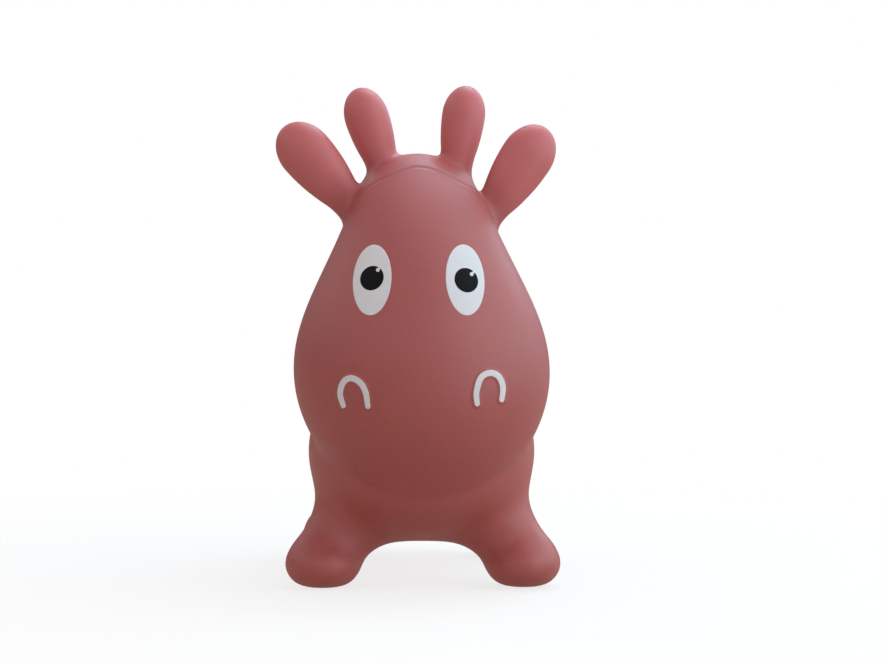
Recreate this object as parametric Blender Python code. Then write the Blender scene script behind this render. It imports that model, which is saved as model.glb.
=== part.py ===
"""Inflatable hopping animal: a hollow moulded skin with horns, ears, tail and four splayed legs,
a push-in air valve at the rear, and printed eyes and nostrils.

Metres, +Z up. The animal faces -Y and stands on z = 0. Left and right are the animal's own: left is +X.
The skin is one moulding on the real toy. It is divided here where it bends, into stiff zones and the
rings of skin between them that flex.
"""
import math

import bmesh
import bpy
import numpy as np
from mathutils import Matrix, Vector
from mathutils.bvhtree import BVHTree

# ------------------------------------------------------------------ driving dimensions (metres)
WALL = 0.0022            # moulded skin thickness
GAP = 0.0003             # clearance between pieces that touch
VOXEL = 0.0070           # first remesh of the joined primitives
SKIN_TRIANGLES = 2700    # faces kept on the outside of the skin
FLAT = 0.0022            # the soles are pressed flat up to this height

# head: an upright egg, wider at the muzzle than at the forehead
HEAD_MID, HEAD_HALF = 0.2835, 0.1745
HEAD_WIDTH = (0.1324, -0.0516, -0.0182, 0.0261, 0.0559)   # half width, by powers of the height t in -1..1
HEAD_FRONT = (0.126, -0.040, -0.012)                      # half depth towards the face
HEAD_BACK = 0.100
HEAD_Y = (-0.118, 0.022)                                  # the egg's axis leans back towards the top
HEAD_LEAN = (-0.0006, -0.0030)                             # and very slightly to the animal's right
CHIN_DROP = (0.58, 0.45)                                   # below this height the egg is drawn out into a full chin

# trunk: chest and rump, centre and radii
CHEST_C, CHEST_R = (0.0, -0.026, 0.1455), (0.1262, 0.1720, 0.1000)
CHEST_BLUNT = 2.8        # 2 is a plain oval; more makes the front half blunter
RUMP_C, RUMP_R = (0.0, 0.150, 0.1660), (0.1240, 0.1300, 0.1200)
TRUNK_BLEND = 0.070
NECK_A, NECK_B, NECK_RA, NECK_RB = (0.0, 0.0, 0.220), (-0.005, -0.060, 0.400), 0.097, 0.0755

# legs: hip point, foot point; radii of the leg at each, radii of the foot
FRONT_HIP, FRONT_FOOT = (0.053, -0.084, 0.104), {-1: (0.1070, -0.122, 0.034), 1: (0.1104, -0.114, 0.034)}
REAR_HIP, REAR_FOOT = (0.055, 0.165, 0.110), {-1: (0.1035, 0.188, 0.034), 1: (0.1035, 0.188, 0.034)}
FRONT_R = (0.0441, 0.0329), (0.0394, 0.0460, 0.0270)
REAR_R = (0.0430, 0.031), (0.0370, 0.0450, 0.0270)
LEG_BLEND = 0.052

# horns and ears: root point and tip. Their shape: half width, length of the rounded end, taper, length of the
# taper. The soft ones on the two sides stand a little unequally
HORN = {-1: ((-0.0404, -0.060, 0.4548), (-0.0718, -0.048, 0.5484)), 1: ((0.0378, -0.060, 0.4550), (0.0516, -0.048, 0.5511))}
HORN_SHAPE = {-1: (0.0246, 0.0346, 2.69, 0.052), 1: (0.0239, 0.0335, 2.50, 0.052)}
EAR = {-1: ((-0.0709, -0.086, 0.4108), (-0.1528, -0.070, 0.5042)), 1: ((0.0718, -0.086, 0.4035), (0.1376, -0.070, 0.5035))}
EAR_SHAPE = {-1: (0.0297, 0.0379, 2.42, 0.068), 1: (0.0291, 0.0379, 2.42, 0.074)}
HORN_FLAT, EAR_FLAT = 0.94, 0.72          # thickness as a share of the width
CROWN_FILLET = (0.007, 0.370, 0.030)
CHIN_FILLET = (0.008, 0.095, 0.050, 0.200, 0.080)   # added width; half width and its fade; top and its fade
CHIN_GROOVE = (0.0011, 0.0045)           # depth and half width
TAIL = ((0.0, 0.2564, 0.2350), (0.0, 0.2940, 0.2573), 0.0150, 0.0165)

# where the skin bends: distance along each limb from its root point to the start and end of the flexing ring
ROOT_DEEPER = 0.014
ROOT_EASE = (0.012, 0.024)
HORN_RING = (0.0270, 0.0390)
EAR_RING = (0.0250, 0.0390)
TAIL_RING = (0.0110, 0.0210)
LEG_PLANE = {"front": ((0.0815, -0.103, 0.0660), (0.53, -0.20, -0.82)),
             "rear": ((0.0770, 0.176, 0.0660), (0.53, 0.16, -0.83))}
LEG_RING = (0.0, 0.0125)
NECK_PLANE = ((0.0, -0.055, 0.205), (0.0, -0.614, 0.789))
NECK_RING = (-0.018, 0.018)

# valve: a seat with a bore, and a plug pushed into it along -Y
VALVE = (0.0, 0.2800, 0.150)
SEAT_FLANGE_R, SEAT_TUBE_R, SEAT_BORE_R = 0.0165, 0.0120, 0.0056
SKIN_HOLE_R = 0.0128
PLUG_HEAD_R, PLUG_STEM_R = 0.0105, 0.0052

# printing: places and sizes on the face, as seen from the front (x, z): eyes as half width, half height and
# turn, nostrils as points along the middle line of their band
EYE = {-1: ((-0.0523, 0.3362), (0.0205, 0.0373), math.radians(-4)), 1: ((0.0462, 0.3363), (0.0205, 0.0374), math.radians(4))}
PUPIL = {-1: ((-0.0525, 0.3380), (0.0120, 0.0134), math.radians(-38)), 1: ((0.0474, 0.3358), (0.0120, 0.0134), math.radians(38))}
GLINT = {-1: (-0.0482, 0.3440), 1: (0.0517, 0.3418)}
GLINT_R = 0.0021
NOSTRIL = {-1: ((-0.0822, 0.2040), (-0.0855, 0.2165), (-0.0822, 0.2285), (-0.0740, 0.2333), (-0.0643, 0.2288), (-0.0585, 0.2190), (-0.0561, 0.2040)),
           1: ((0.0582, 0.2068), (0.0574, 0.2190), (0.0622, 0.2340), (0.0718, 0.2388), (0.0808, 0.2350), (0.0855, 0.2240), (0.0843, 0.2103))}
NOSTRIL_BAND = 0.0062
FILM = (0.0003, 0.0008)   # the printed film's inner and outer face above the skin

# the numbers above are measured from a point on the floor under the neck. The finished part is moved by
# this much, which brings its own origin to the middle of its footprint
PLACE = (0.0043, -0.0273, 0.0)


# ------------------------------------------------------------------ the rule that the skin's surface follows
def blend_min(a, b, k):
    """the lower of two distances, with a smooth fillet of width k between them"""
    h = np.maximum(k - np.abs(a - b), 0.0) / k
    return np.minimum(a, b) - h * h * h * k / 6.0


def blend_max(a, b, k):
    return -blend_min(-a, -b, k)


def club(p, a, b, ra, rb):
    """distance to a round-ended cone"""
    a, b = np.array(a), np.array(b)
    ba = b - a
    l2 = ba @ ba
    rr = ra - rb
    a2 = l2 - rr * rr
    pa = p - a
    y = pa @ ba
    z = y - l2
    w = pa * l2 - ba * y[..., None]
    x2 = (w * w).sum(-1)
    y2, z2 = y * y * l2, z * z * l2
    k = np.sign(rr) * rr * rr * x2
    side = (np.sqrt(x2 * a2 / l2) + y * rr) / l2 - ra
    low = np.sqrt(x2 + y2) / l2 - ra
    high = np.sqrt(x2 + z2) / l2 - rb
    return np.where(np.sign(z) * a2 * z2 > k, high, np.where(np.sign(y) * a2 * y2 < k, low, side))


def oval(p, c, r):
    """approximate distance to an ellipsoid"""
    q = p - np.array(c)
    r = np.array(r)
    k0 = np.sqrt(((q / r) ** 2).sum(-1))
    k1 = np.sqrt(((q / (r * r)) ** 2).sum(-1))
    return k0 * (k0 - 1.0) / np.maximum(k1, 1e-9)


def powers(t, coefficients):
    return sum(c * t ** i for i, c in enumerate(coefficients))


def head_rule(p):
    t = (p[..., 2] - HEAD_MID) / HEAD_HALF
    t = t + CHIN_DROP[1] * np.clip(-CHIN_DROP[0] - t, 0.0, 0.8) ** 2
    tc = np.clip(t, -1.05, 1.05)
    gx = powers(tc, HEAD_WIDTH)
    x = p[..., 0] - powers(tc, HEAD_LEAN)
    y = p[..., 1] - powers(tc, HEAD_Y)
    gy = np.where(y < 0, powers(tc, HEAD_FRONT), HEAD_BACK)
    k0 = np.sqrt((x / gx) ** 2 + (y / gy) ** 2 + t * t)
    k1 = np.sqrt((x / gx ** 2) ** 2 + (y / gy ** 2) ** 2 + (t / HEAD_HALF) ** 2)
    return k0 * (k0 - 1.0) / np.maximum(k1, 1e-9)


def chest_rule(p):
    """an oval, with its front half blunter than its back half"""
    q = p - np.array(CHEST_C)
    r = np.array(CHEST_R)
    u = (q[..., 0] / r[0]) ** 2 + (q[..., 2] / r[2]) ** 2
    v = np.abs(q[..., 1]) / r[1]
    n = np.where(q[..., 1] < 0.0, CHEST_BLUNT, 2.0)
    u, v = np.maximum(u, 1e-6), np.maximum(v, 1e-4)
    k0 = np.maximum((u ** (n / 2) + v ** n) ** (1.0 / n), 0.05)
    around = (q[..., 0] / r[0] ** 2) ** 2 + (q[..., 2] / r[2] ** 2) ** 2
    k1 = k0 ** (1.0 - n) * np.sqrt(u ** (n - 2.0) * around + v ** (2.0 * n - 2.0) / r[1] ** 2)
    return (k0 - 1.0) / np.maximum(k1, 1e-9)


def mirrored(c, side):
    return (c[0] * side, c[1], c[2])


def leg_rule(p, side, hip, foot, radii):
    hip, foot = mirrored(hip, side), mirrored(foot[side], side)
    pad = (foot[0] + 0.001 * side, foot[1] - 0.003, foot[2] - 0.009)
    return blend_min(club(p, hip, foot, *radii[0]), oval(p, pad, radii[1]), 0.025)


def paddle(p, root, tip, shape, flat, facing):
    """distance to a soft horn or ear: a rounded end, then a taper towards its root, flattened one way"""
    width, nose, taper, reach = shape
    a, b = np.array(root), np.array(tip)
    length = np.linalg.norm(b - a)
    u = (b - a) / length
    n = np.array(facing) - np.dot(facing, u) * u
    n = n / np.linalg.norm(n)
    q = p - b
    s = -(q @ u)
    f2 = (q @ n) ** 2
    e2 = np.maximum((q * q).sum(-1) - s * s - f2, 0.0)
    k0 = np.sqrt(((s - nose) / nose) ** 2 + e2 / width ** 2 + f2 / (width * flat) ** 2)
    k1 = np.sqrt(((s - nose) / nose ** 2) ** 2 + e2 / width ** 4 + f2 / (width * flat) ** 4)
    front = k0 * (k0 - 1.0) / np.maximum(k1, 1e-9)
    back = np.maximum(s - nose, 0.0)
    even = np.clip(back - (reach - ROOT_EASE[0]), 0.0, ROOT_EASE[1])
    back = np.minimum(back, reach - ROOT_EASE[0])
    narrowing = back * back + 2.0 * back * even - even * even * back / ROOT_EASE[1]
    steep = 2.0 * taper * back * (1.0 - even / ROOT_EASE[1])
    rho = np.sqrt(e2 + f2 / flat ** 2)
    rise = np.sqrt(e2 + f2 / flat ** 4) / np.maximum(rho, 1e-9)
    side = (rho - width + taper * narrowing) / np.sqrt(np.maximum(rise, 0.2) ** 2 + steep ** 2)
    d = np.where(s < nose, front, side)
    beyond = np.maximum(s - length, 0.0)
    return np.where(beyond > 0.0, np.sqrt(np.maximum(d, 0.0) ** 2 + beyond ** 2), d)


def deeper(root, tip):
    """a limb's root moved along the limb, further into the head"""
    a, b = np.array(root), np.array(tip)
    return a - (b - a) / np.linalg.norm(b - a) * ROOT_DEEPER


def horn_rule(p, side):
    root, tip = HORN[side]
    return paddle(p, deeper(root, tip), tip, HORN_SHAPE[side], HORN_FLAT, (0.0, -1.0, 0.1))


def ear_rule(p, side):
    root, tip = EAR[side]
    return paddle(p, deeper(root, tip), tip, EAR_SHAPE[side], EAR_FLAT, (0.1 * side, -1.0, 0.15))


def soft_step(t):
    t = np.clip(t, 0.0, 1.0)
    return t * t * (3.0 - 2.0 * t)


def head_onto(d, p):
    """joins the head to the body: a wider fillet under the chin and at the crown, a tight one beside the cheeks, a groove under the chin"""
    head = head_rule(p)
    reach, half, soft, top, fade = CHIN_FILLET
    chin = soft_step((half - np.abs(p[..., 0])) / soft) * soft_step((top - p[..., 2]) / fade)
    crown = CROWN_FILLET[0] * soft_step((p[..., 2] - CROWN_FILLET[1]) / CROWN_FILLET[2])
    under = soft_step((0.175 - p[..., 2]) / 0.05)
    groove = CHIN_GROOVE[0] * under * np.exp(-((head - d) / CHIN_GROOVE[1]) ** 2)
    return blend_min(d, head, 0.010 + crown + reach * chin) + groove


def neck_and_trunk(p):
    d = blend_min(chest_rule(p), oval(p, RUMP_C, RUMP_R), TRUNK_BLEND)
    return blend_min(d, club(p, NECK_A, NECK_B, NECK_RA, NECK_RB), 0.070)


def trunk_rule(p):
    """distance to the broad, gently curved masses: trunk, neck and head, without the limbs"""
    return np.minimum(neck_and_trunk(p), head_rule(p))


def skin_rule(p):
    """distance to the outside of the skin, negative inside"""
    d = neck_and_trunk(p)
    for side in (-1, 1):
        d = blend_min(d, leg_rule(p, side, FRONT_HIP, FRONT_FOOT, FRONT_R), LEG_BLEND)
        d = blend_min(d, leg_rule(p, side, REAR_HIP, REAR_FOOT, REAR_R), LEG_BLEND)
    d = blend_min(d, club(p, *TAIL), 0.014)
    for side in (-1, 1):
        d = blend_min(d, blend_min(horn_rule(p, side), ear_rule(p, side), 0.018), 0.014)
    d = head_onto(d, p)
    return blend_max(d, -p[..., 2], 0.012)


def slope(p, step=1e-4):
    g = np.empty_like(p)
    for i in range(3):
        e = np.zeros(3)
        e[i] = step
        g[:, i] = (skin_rule(p + e) - skin_rule(p - e)) / (2 * step)
    return g


def onto_rule(p, rounds=6, level=0.0):
    """moves points along the slope until they lie at this height above the rule's surface"""
    for _ in range(rounds):
        g = slope(p)
        move = (skin_rule(p) - level)[:, None] * g / np.maximum((g * g).sum(1), 1e-6)[:, None]
        length = np.linalg.norm(move, axis=1, keepdims=True)
        p = p - move * np.minimum(1.0, 0.006 / np.maximum(length, 1e-12))
    return p


# ------------------------------------------------------------------ Blender helpers
def clear_scene():
    for obj in list(bpy.data.objects):
        bpy.data.objects.remove(obj, do_unlink=True)


def new_object(name, bm_or_mesh):
    if isinstance(bm_or_mesh, bmesh.types.BMesh):
        mesh = bpy.data.meshes.new(name)
        bm_or_mesh.to_mesh(mesh)
        bm_or_mesh.free()
    else:
        mesh = bm_or_mesh
    obj = bpy.data.objects.new(name, mesh)
    bpy.context.scene.collection.objects.link(obj)
    return obj


def evaluated(obj, name):
    """a new mesh: the object with its modifiers applied"""
    graph = bpy.context.evaluated_depsgraph_get()
    graph.update()
    mesh = bpy.data.meshes.new_from_object(obj.evaluated_get(graph), depsgraph=graph)
    mesh.name = name
    return mesh


def points_of(mesh):
    p = np.empty(len(mesh.vertices) * 3, np.float32)
    mesh.vertices.foreach_get("co", p)
    return p.reshape(-1, 3).astype(float)


def set_points(mesh, p):
    mesh.vertices.foreach_set("co", np.ascontiguousarray(p, np.float32).ravel())
    mesh.update()


def discard(*objects):
    for obj in objects:
        bpy.data.objects.remove(obj, do_unlink=True)


def boolean(obj, cutter, operation, name):
    """a new mesh: obj cut by or with cutter"""
    work = new_object("work", obj.data.copy())
    m = work.modifiers.new("cut", "BOOLEAN")
    m.object = cutter
    m.operation = operation
    m.solver = "EXACT"
    bpy.context.view_layer.update()
    mesh = evaluated(work, name)
    discard(work)
    return mesh


def tidy(mesh):
    """drops slivers and loose points left by a cut"""
    bm = bmesh.new()
    bm.from_mesh(mesh)
    bmesh.ops.remove_doubles(bm, verts=bm.verts, dist=0.00002)
    bmesh.ops.dissolve_degenerate(bm, dist=0.00002, edges=bm.edges)
    loose = [v for v in bm.verts if not v.link_faces]
    bmesh.ops.delete(bm, geom=loose, context="VERTS")
    bm.to_mesh(mesh)
    bm.free()
    return mesh


def material(name, colour, roughness):
    m = bpy.data.materials.new(name)
    m.use_nodes = True
    b = m.node_tree.nodes["Principled BSDF"]
    b.inputs["Base Color"].default_value = (*colour, 1.0)
    b.inputs["Roughness"].default_value = roughness
    b.inputs["Metallic"].default_value = 0.0
    m.diffuse_color = (*colour, 1.0)
    return m


def frame_of(point, axis):
    """matrix that takes +Z to axis and the origin to point"""
    q = Vector(axis).normalized().to_track_quat("Z", "Y")
    return Matrix.Translation(Vector(point)) @ q.to_matrix().to_4x4()


def slab(point, axis, start, end, r_start, r_end, name="cutter", sides=24):
    """a cone-shaped cutter around an axis, from start to end along it"""
    bm = bmesh.new()
    bmesh.ops.create_cone(bm, cap_ends=True, cap_tris=False, segments=sides,
                          radius1=r_start, radius2=r_end, depth=end - start)
    bmesh.ops.translate(bm, verts=bm.verts, vec=(0, 0, (start + end) / 2))
    bmesh.ops.transform(bm, verts=bm.verts, matrix=frame_of(point, axis))
    obj = new_object(name, bm)
    obj.hide_render = True
    obj.display_type = "WIRE"
    return obj


def unit(a, b):
    return tuple((Vector(b) - Vector(a)).normalized())


def along(point, axis, s):
    return tuple(Vector(point) + Vector(axis).normalized() * s)


# ------------------------------------------------------------------ the skin, before it is divided
def add_ball(bm, centre, radii):
    geo = bmesh.ops.create_uvsphere(bm, u_segments=32, v_segments=20, radius=1.0)
    m = Matrix.Translation(centre) @ Matrix.Diagonal((*radii, 1.0))
    bmesh.ops.transform(bm, verts=geo["verts"], matrix=m)
    return geo["verts"]


def add_club(bm, a, b, ra, rb):
    add_ball(bm, a, (ra, ra, ra))
    add_ball(bm, b, (rb, rb, rb))
    geo = bmesh.ops.create_cone(bm, cap_ends=True, segments=32, radius1=ra, radius2=rb,
                                depth=(Vector(b) - Vector(a)).length)
    bmesh.ops.translate(bm, verts=geo["verts"], vec=(0, 0, (Vector(b) - Vector(a)).length / 2))
    bmesh.ops.transform(bm, verts=geo["verts"], matrix=frame_of(a, unit(a, b)))


def skin_outside():
    """egg, ovals and clubs fused into one closed surface, then drawn onto the skin's rule"""
    bm = bmesh.new()
    for v in add_ball(bm, (0, 0, 0), (1, 1, 1)):
        t = v.co.z
        v.co.x = v.co.x * powers(t, HEAD_WIDTH) + powers(t, HEAD_LEAN)
        v.co.y = v.co.y * (powers(t, HEAD_FRONT) if v.co.y < 0 else HEAD_BACK) + powers(t, HEAD_Y)
        v.co.z = HEAD_MID + HEAD_HALF * t
    add_ball(bm, CHEST_C, CHEST_R)
    add_ball(bm, RUMP_C, RUMP_R)
    add_club(bm, NECK_A, NECK_B, NECK_RA, NECK_RB)
    for side in (-1, 1):
        for hip, foot, radii in ((FRONT_HIP, FRONT_FOOT, FRONT_R), (REAR_HIP, REAR_FOOT, REAR_R)):
            add_club(bm, mirrored(hip, side), mirrored(foot[side], side), radii[0][0], radii[0][1] - 0.004)
        for (root, tip), shape, thick in ((HORN[side], HORN_SHAPE[side], 0.92), (EAR[side], EAR_SHAPE[side], 0.80)):
            end = Vector(tip) + (Vector(root) - Vector(tip)).normalized() * shape[1] * 0.85
            add_club(bm, root, end, shape[0] * thick * 0.72, shape[0] * thick)
    add_club(bm, *TAIL)
    rough = new_object("rough", bm)
    m = rough.modifiers.new("fuse", "REMESH")
    m.mode = "VOXEL"
    m.voxel_size = VOXEL
    m.adaptivity = 0.0
    fused = new_object("fused", evaluated(rough, "fused"))
    set_points(fused.data, onto_rule(points_of(fused.data), 12))
    d = fused.modifiers.new("thin", "DECIMATE")
    d.decimate_type = "COLLAPSE"
    tris = sum(len(f.vertices) - 2 for f in fused.data.polygons)
    d.ratio = SKIN_TRIANGLES / tris
    p = points_of(fused.data)
    broad = np.clip(-np.maximum(trunk_rule(p), -0.02) / 0.012 + 1.0, 0.0, 1.0)
    group = fused.vertex_groups.new(name="broad")
    for i, w in enumerate(broad):
        group.add([i], 0.15 + 0.85 * float(w), "REPLACE")
    d.vertex_group = "broad"
    d.vertex_group_factor = 1.0
    d.use_collapse_triangulate = True
    mesh = evaluated(fused, "skin_outside")
    p = onto_rule(points_of(mesh), 6)
    p[:, 2] = np.where(p[:, 2] < FLAT, 0.0, p[:, 2])
    set_points(mesh, p)
    discard(rough, fused)
    return mesh


def crossing(mesh):
    """vertices of triangles that pass through one another"""
    tree = BVHTree.FromPolygons([v.co for v in mesh.vertices], [tuple(f.vertices) for f in mesh.polygons])
    found = set()
    for a, b in tree.overlap(tree):
        fa, fb = set(mesh.polygons[a].vertices), set(mesh.polygons[b].vertices)
        if a < b and not fa & fb:
            found |= fa | fb
    return found


def hollow_skin():
    """the closed outside with a second surface one wall thickness inside it"""
    obj = new_object("skin", skin_outside())
    s = obj.modifiers.new("wall", "SOLIDIFY")
    s.thickness = WALL
    s.offset = -1.0
    s.use_even_offset = False
    s.use_rim = False
    n = len(obj.data.vertices)
    near = [set() for _ in range(n)]
    for e in obj.data.edges:
        a, b = e.vertices
        near[a].add(b)
        near[b].add(a)
    for _ in range(12):
        mesh = evaluated(obj, "skin_hollow")
        folded = {i % n for i in crossing(mesh)}
        if not folded:
            break
        # where the skin folded into itself its points are spread out again and put back on the rule
        folded |= {j for i in folded for j in near[i]}
        p = points_of(obj.data)
        moved = sorted(i for i in folded if p[i, 2] > 0.0)
        for _ in range(4):
            q = p.copy()
            for i in moved:
                q[i] = 0.5 * p[i] + 0.5 * p[list(near[i])].mean(axis=0)
            p = q
        p[moved] = onto_rule(p[moved], 6)
        p[moved, 2] = np.maximum(p[moved, 2], FLAT)
        set_points(obj.data, p)
    discard(obj)
    return new_object("skin_hollow", mesh)


def portion(core, point, axis, start, end, r_start, r_end, name):
    """the part of the skin between two planes across an axis, within a cone around it"""
    p0, u = np.array(point), np.array(Vector(axis).normalized())
    for sides in (24, 22, 26, 20, 28):
        cutter = slab(point, axis, start, end, r_start, r_end, sides=sides)
        mesh = tidy(boolean(core, cutter, "INTERSECT", name))
        discard(cutter)
        s = (points_of(mesh) - p0) @ u
        if len(s) and s.min() > start - 1e-5 and s.max() < end + 1e-5:
            return new_object(name, mesh)
    raise ValueError(f"{name} could not be cut cleanly")


def divide(core, point, axis, ring, radii, reach, stiff, flexing):
    """cuts a limb off the core: its stiff end, the ring of skin that flexes, and the rest"""
    s0, s1 = ring
    r0, r1 = radii
    a = portion(core, point, axis, s1 + GAP / 2, reach, r0, r1, stiff)
    b = portion(core, point, axis, s0 + GAP / 2, s1 - GAP / 2, r0, r0, flexing)
    off = slab(point, axis, s0 - GAP / 2, reach, r0, r1)
    rest = new_object("core", boolean(core, off, "DIFFERENCE", "core"))
    discard(core, off)
    return rest, a, b


# ------------------------------------------------------------------ printing on the face
def face_points(plan, level):
    """points (x, z) seen from the front, set on the face at this height above the skin"""
    p = np.array([(x, -0.30, z) for x, z in plan])
    lo, hi = np.full(len(p), -0.30), np.full(len(p), -0.10)
    for _ in range(40):
        mid = (lo + hi) / 2
        p[:, 1] = mid
        inside = skin_rule(p) < level
        hi = np.where(inside, mid, hi)
        lo = np.where(inside, lo, mid)
    p[:, 1] = hi
    return p


def film(name, rings, colour_material, cap_centre=None, level=FILM):
    """a thin closed film on the face, from rings of plan points, outermost first"""
    bm = bmesh.new()
    layers = []
    for height in (level[1], level[0]):
        loops = [[bm.verts.new(q) for q in face_points(ring, height)] for ring in rings]
        centre = bm.verts.new(face_points([cap_centre], height)[0]) if cap_centre else None
        layers.append((loops, centre))
    n = len(rings[0])
    for k, (loops, centre) in enumerate(layers):
        for a, b in zip(loops, loops[1:]):
            for i in range(n):
                f = (a[i], a[(i + 1) % n], b[(i + 1) % n], b[i])
                bm.faces.new(f if k == 0 else f[::-1])
        if centre:
            a = loops[-1]
            for i in range(n):
                f = (a[i], a[(i + 1) % n], centre)
                bm.faces.new(f if k == 0 else f[::-1])
    top, low = layers[0][0], layers[1][0]
    for i in range(n):
        bm.faces.new((top[0][(i + 1) % n], top[0][i], low[0][i], low[0][(i + 1) % n]))
        if not cap_centre:
            bm.faces.new((top[-1][i], top[-1][(i + 1) % n], low[-1][(i + 1) % n], low[-1][i]))
    bmesh.ops.recalc_face_normals(bm, faces=bm.faces)
    obj = new_object(name, bm)
    obj.data.materials.append(colour_material)
    return obj


def oval_ring(centre, half, turn, n, grow=0.0):
    ring = []
    for i in range(n):
        a = 2 * math.pi * i / n
        x, z = (half[0] + grow) * math.cos(a), (half[1] + grow) * math.sin(a)
        ring.append((centre[0] + x * math.cos(turn) - z * math.sin(turn),
                     centre[1] + x * math.sin(turn) + z * math.cos(turn)))
    return ring


def between(a, b, t):
    return [(p[0] + (q[0] - p[0]) * t, p[1] + (q[1] - p[1]) * t) for p, q in zip(a, b)]


def nostril_line(side, n=40):
    """points spread evenly on the smooth curve through a nostril's middle line, as (x, z) seen from the front"""
    q = np.array(NOSTRIL[side])
    q = np.concatenate([[2 * q[0] - q[1]], q, [2 * q[-1] - q[-2]]])
    curve = [q[1]]
    for i in range(1, len(q) - 2):
        a, b, c, d = q[i - 1:i + 3]
        for t in np.linspace(0, 1, 17)[1:]:
            curve.append(0.5 * (2 * b + (c - a) * t + (2 * a - 5 * b + 4 * c - d) * t * t + (3 * b - a - 3 * c + d) * t ** 3))
    curve = np.array(curve)
    s = np.concatenate([[0], np.cumsum(np.linalg.norm(np.diff(curve, axis=0), axis=1))])
    t = np.linspace(0, s[-1], n)
    return np.stack([np.interp(t, s, curve[:, 0]), np.interp(t, s, curve[:, 1])], 1)


def nostril(name, side, colour_material):
    """a raised band bent to an upside-down U with round ends"""
    line = nostril_line(side, 17)
    d = np.gradient(line, axis=0)
    d = d / np.linalg.norm(d, axis=1, keepdims=True)
    across = np.stack([-d[:, 1], d[:, 0]], 1) * NOSTRIL_BAND / 2

    def cap(q, t):
        return [q + NOSTRIL_BAND / 2 * np.array((math.cos(a) * t[0] - math.sin(a) * t[1], math.sin(a) * t[0] + math.cos(a) * t[1]))
                for a in (math.radians(45), 0.0, math.radians(-45))]

    bm = bmesh.new()
    n = len(line)
    plan = list(line + across) + cap(line[-1], d[-1]) + list((line - across)[::-1]) + cap(line[0], -d[0])
    layers = [[bm.verts.new(q) for q in face_points(plan, h)] for h in (FILM[1] + 0.0004, FILM[0])]
    m = len(plan)
    r = lambda i: n + 3 + (n - 1 - i)      # index of right[i] in the outline
    for k, v in enumerate(layers):
        polys = [(v[i], v[i + 1], v[r(i + 1)], v[r(i)]) for i in range(n - 1)]
        polys += [(v[n - 1], v[n], v[n + 2], v[r(n - 1)]), (v[n], v[n + 1], v[n + 2])]
        polys += [(v[r(0)], v[m - 3], v[m - 1], v[0]), (v[m - 3], v[m - 2], v[m - 1])]
        for f in polys:
            bm.faces.new(f if k == 0 else f[::-1])
    for i in range(m):
        j = (i + 1) % m
        bm.faces.new((layers[0][j], layers[0][i], layers[1][i], layers[1][j]))
    bmesh.ops.recalc_face_normals(bm, faces=bm.faces)
    obj = new_object(name, bm)
    obj.data.materials.append(colour_material)
    return obj


# ------------------------------------------------------------------ valve
def turned(name, profile, colour_material, sides=24):
    """a solid of revolution about the valve's axis; profile is (radius, distance out of the skin)"""
    bm = bmesh.new()
    y0 = VALVE[1]
    verts = [bm.verts.new((VALVE[0] + r, y0 + d, VALVE[2])) for r, d in profile]
    closed = profile[0][0] > 0
    edges = [bm.edges.new((verts[i], verts[i + 1])) for i in range(len(verts) - 1)]
    if closed:
        edges.append(bm.edges.new((verts[-1], verts[0])))
    bmesh.ops.spin(bm, geom=verts + edges, cent=VALVE, axis=(0, 1, 0), angle=2 * math.pi, steps=sides,
                   use_merge=True, use_duplicate=False)
    bmesh.ops.remove_doubles(bm, verts=bm.verts, dist=0.00001)
    bmesh.ops.recalc_face_normals(bm, faces=bm.faces)
    obj = new_object(name, bm)
    obj.data.materials.append(colour_material)
    obj.data.shade_smooth()
    obj.data.set_sharp_from_angle(angle=math.radians(35))
    return obj


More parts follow.
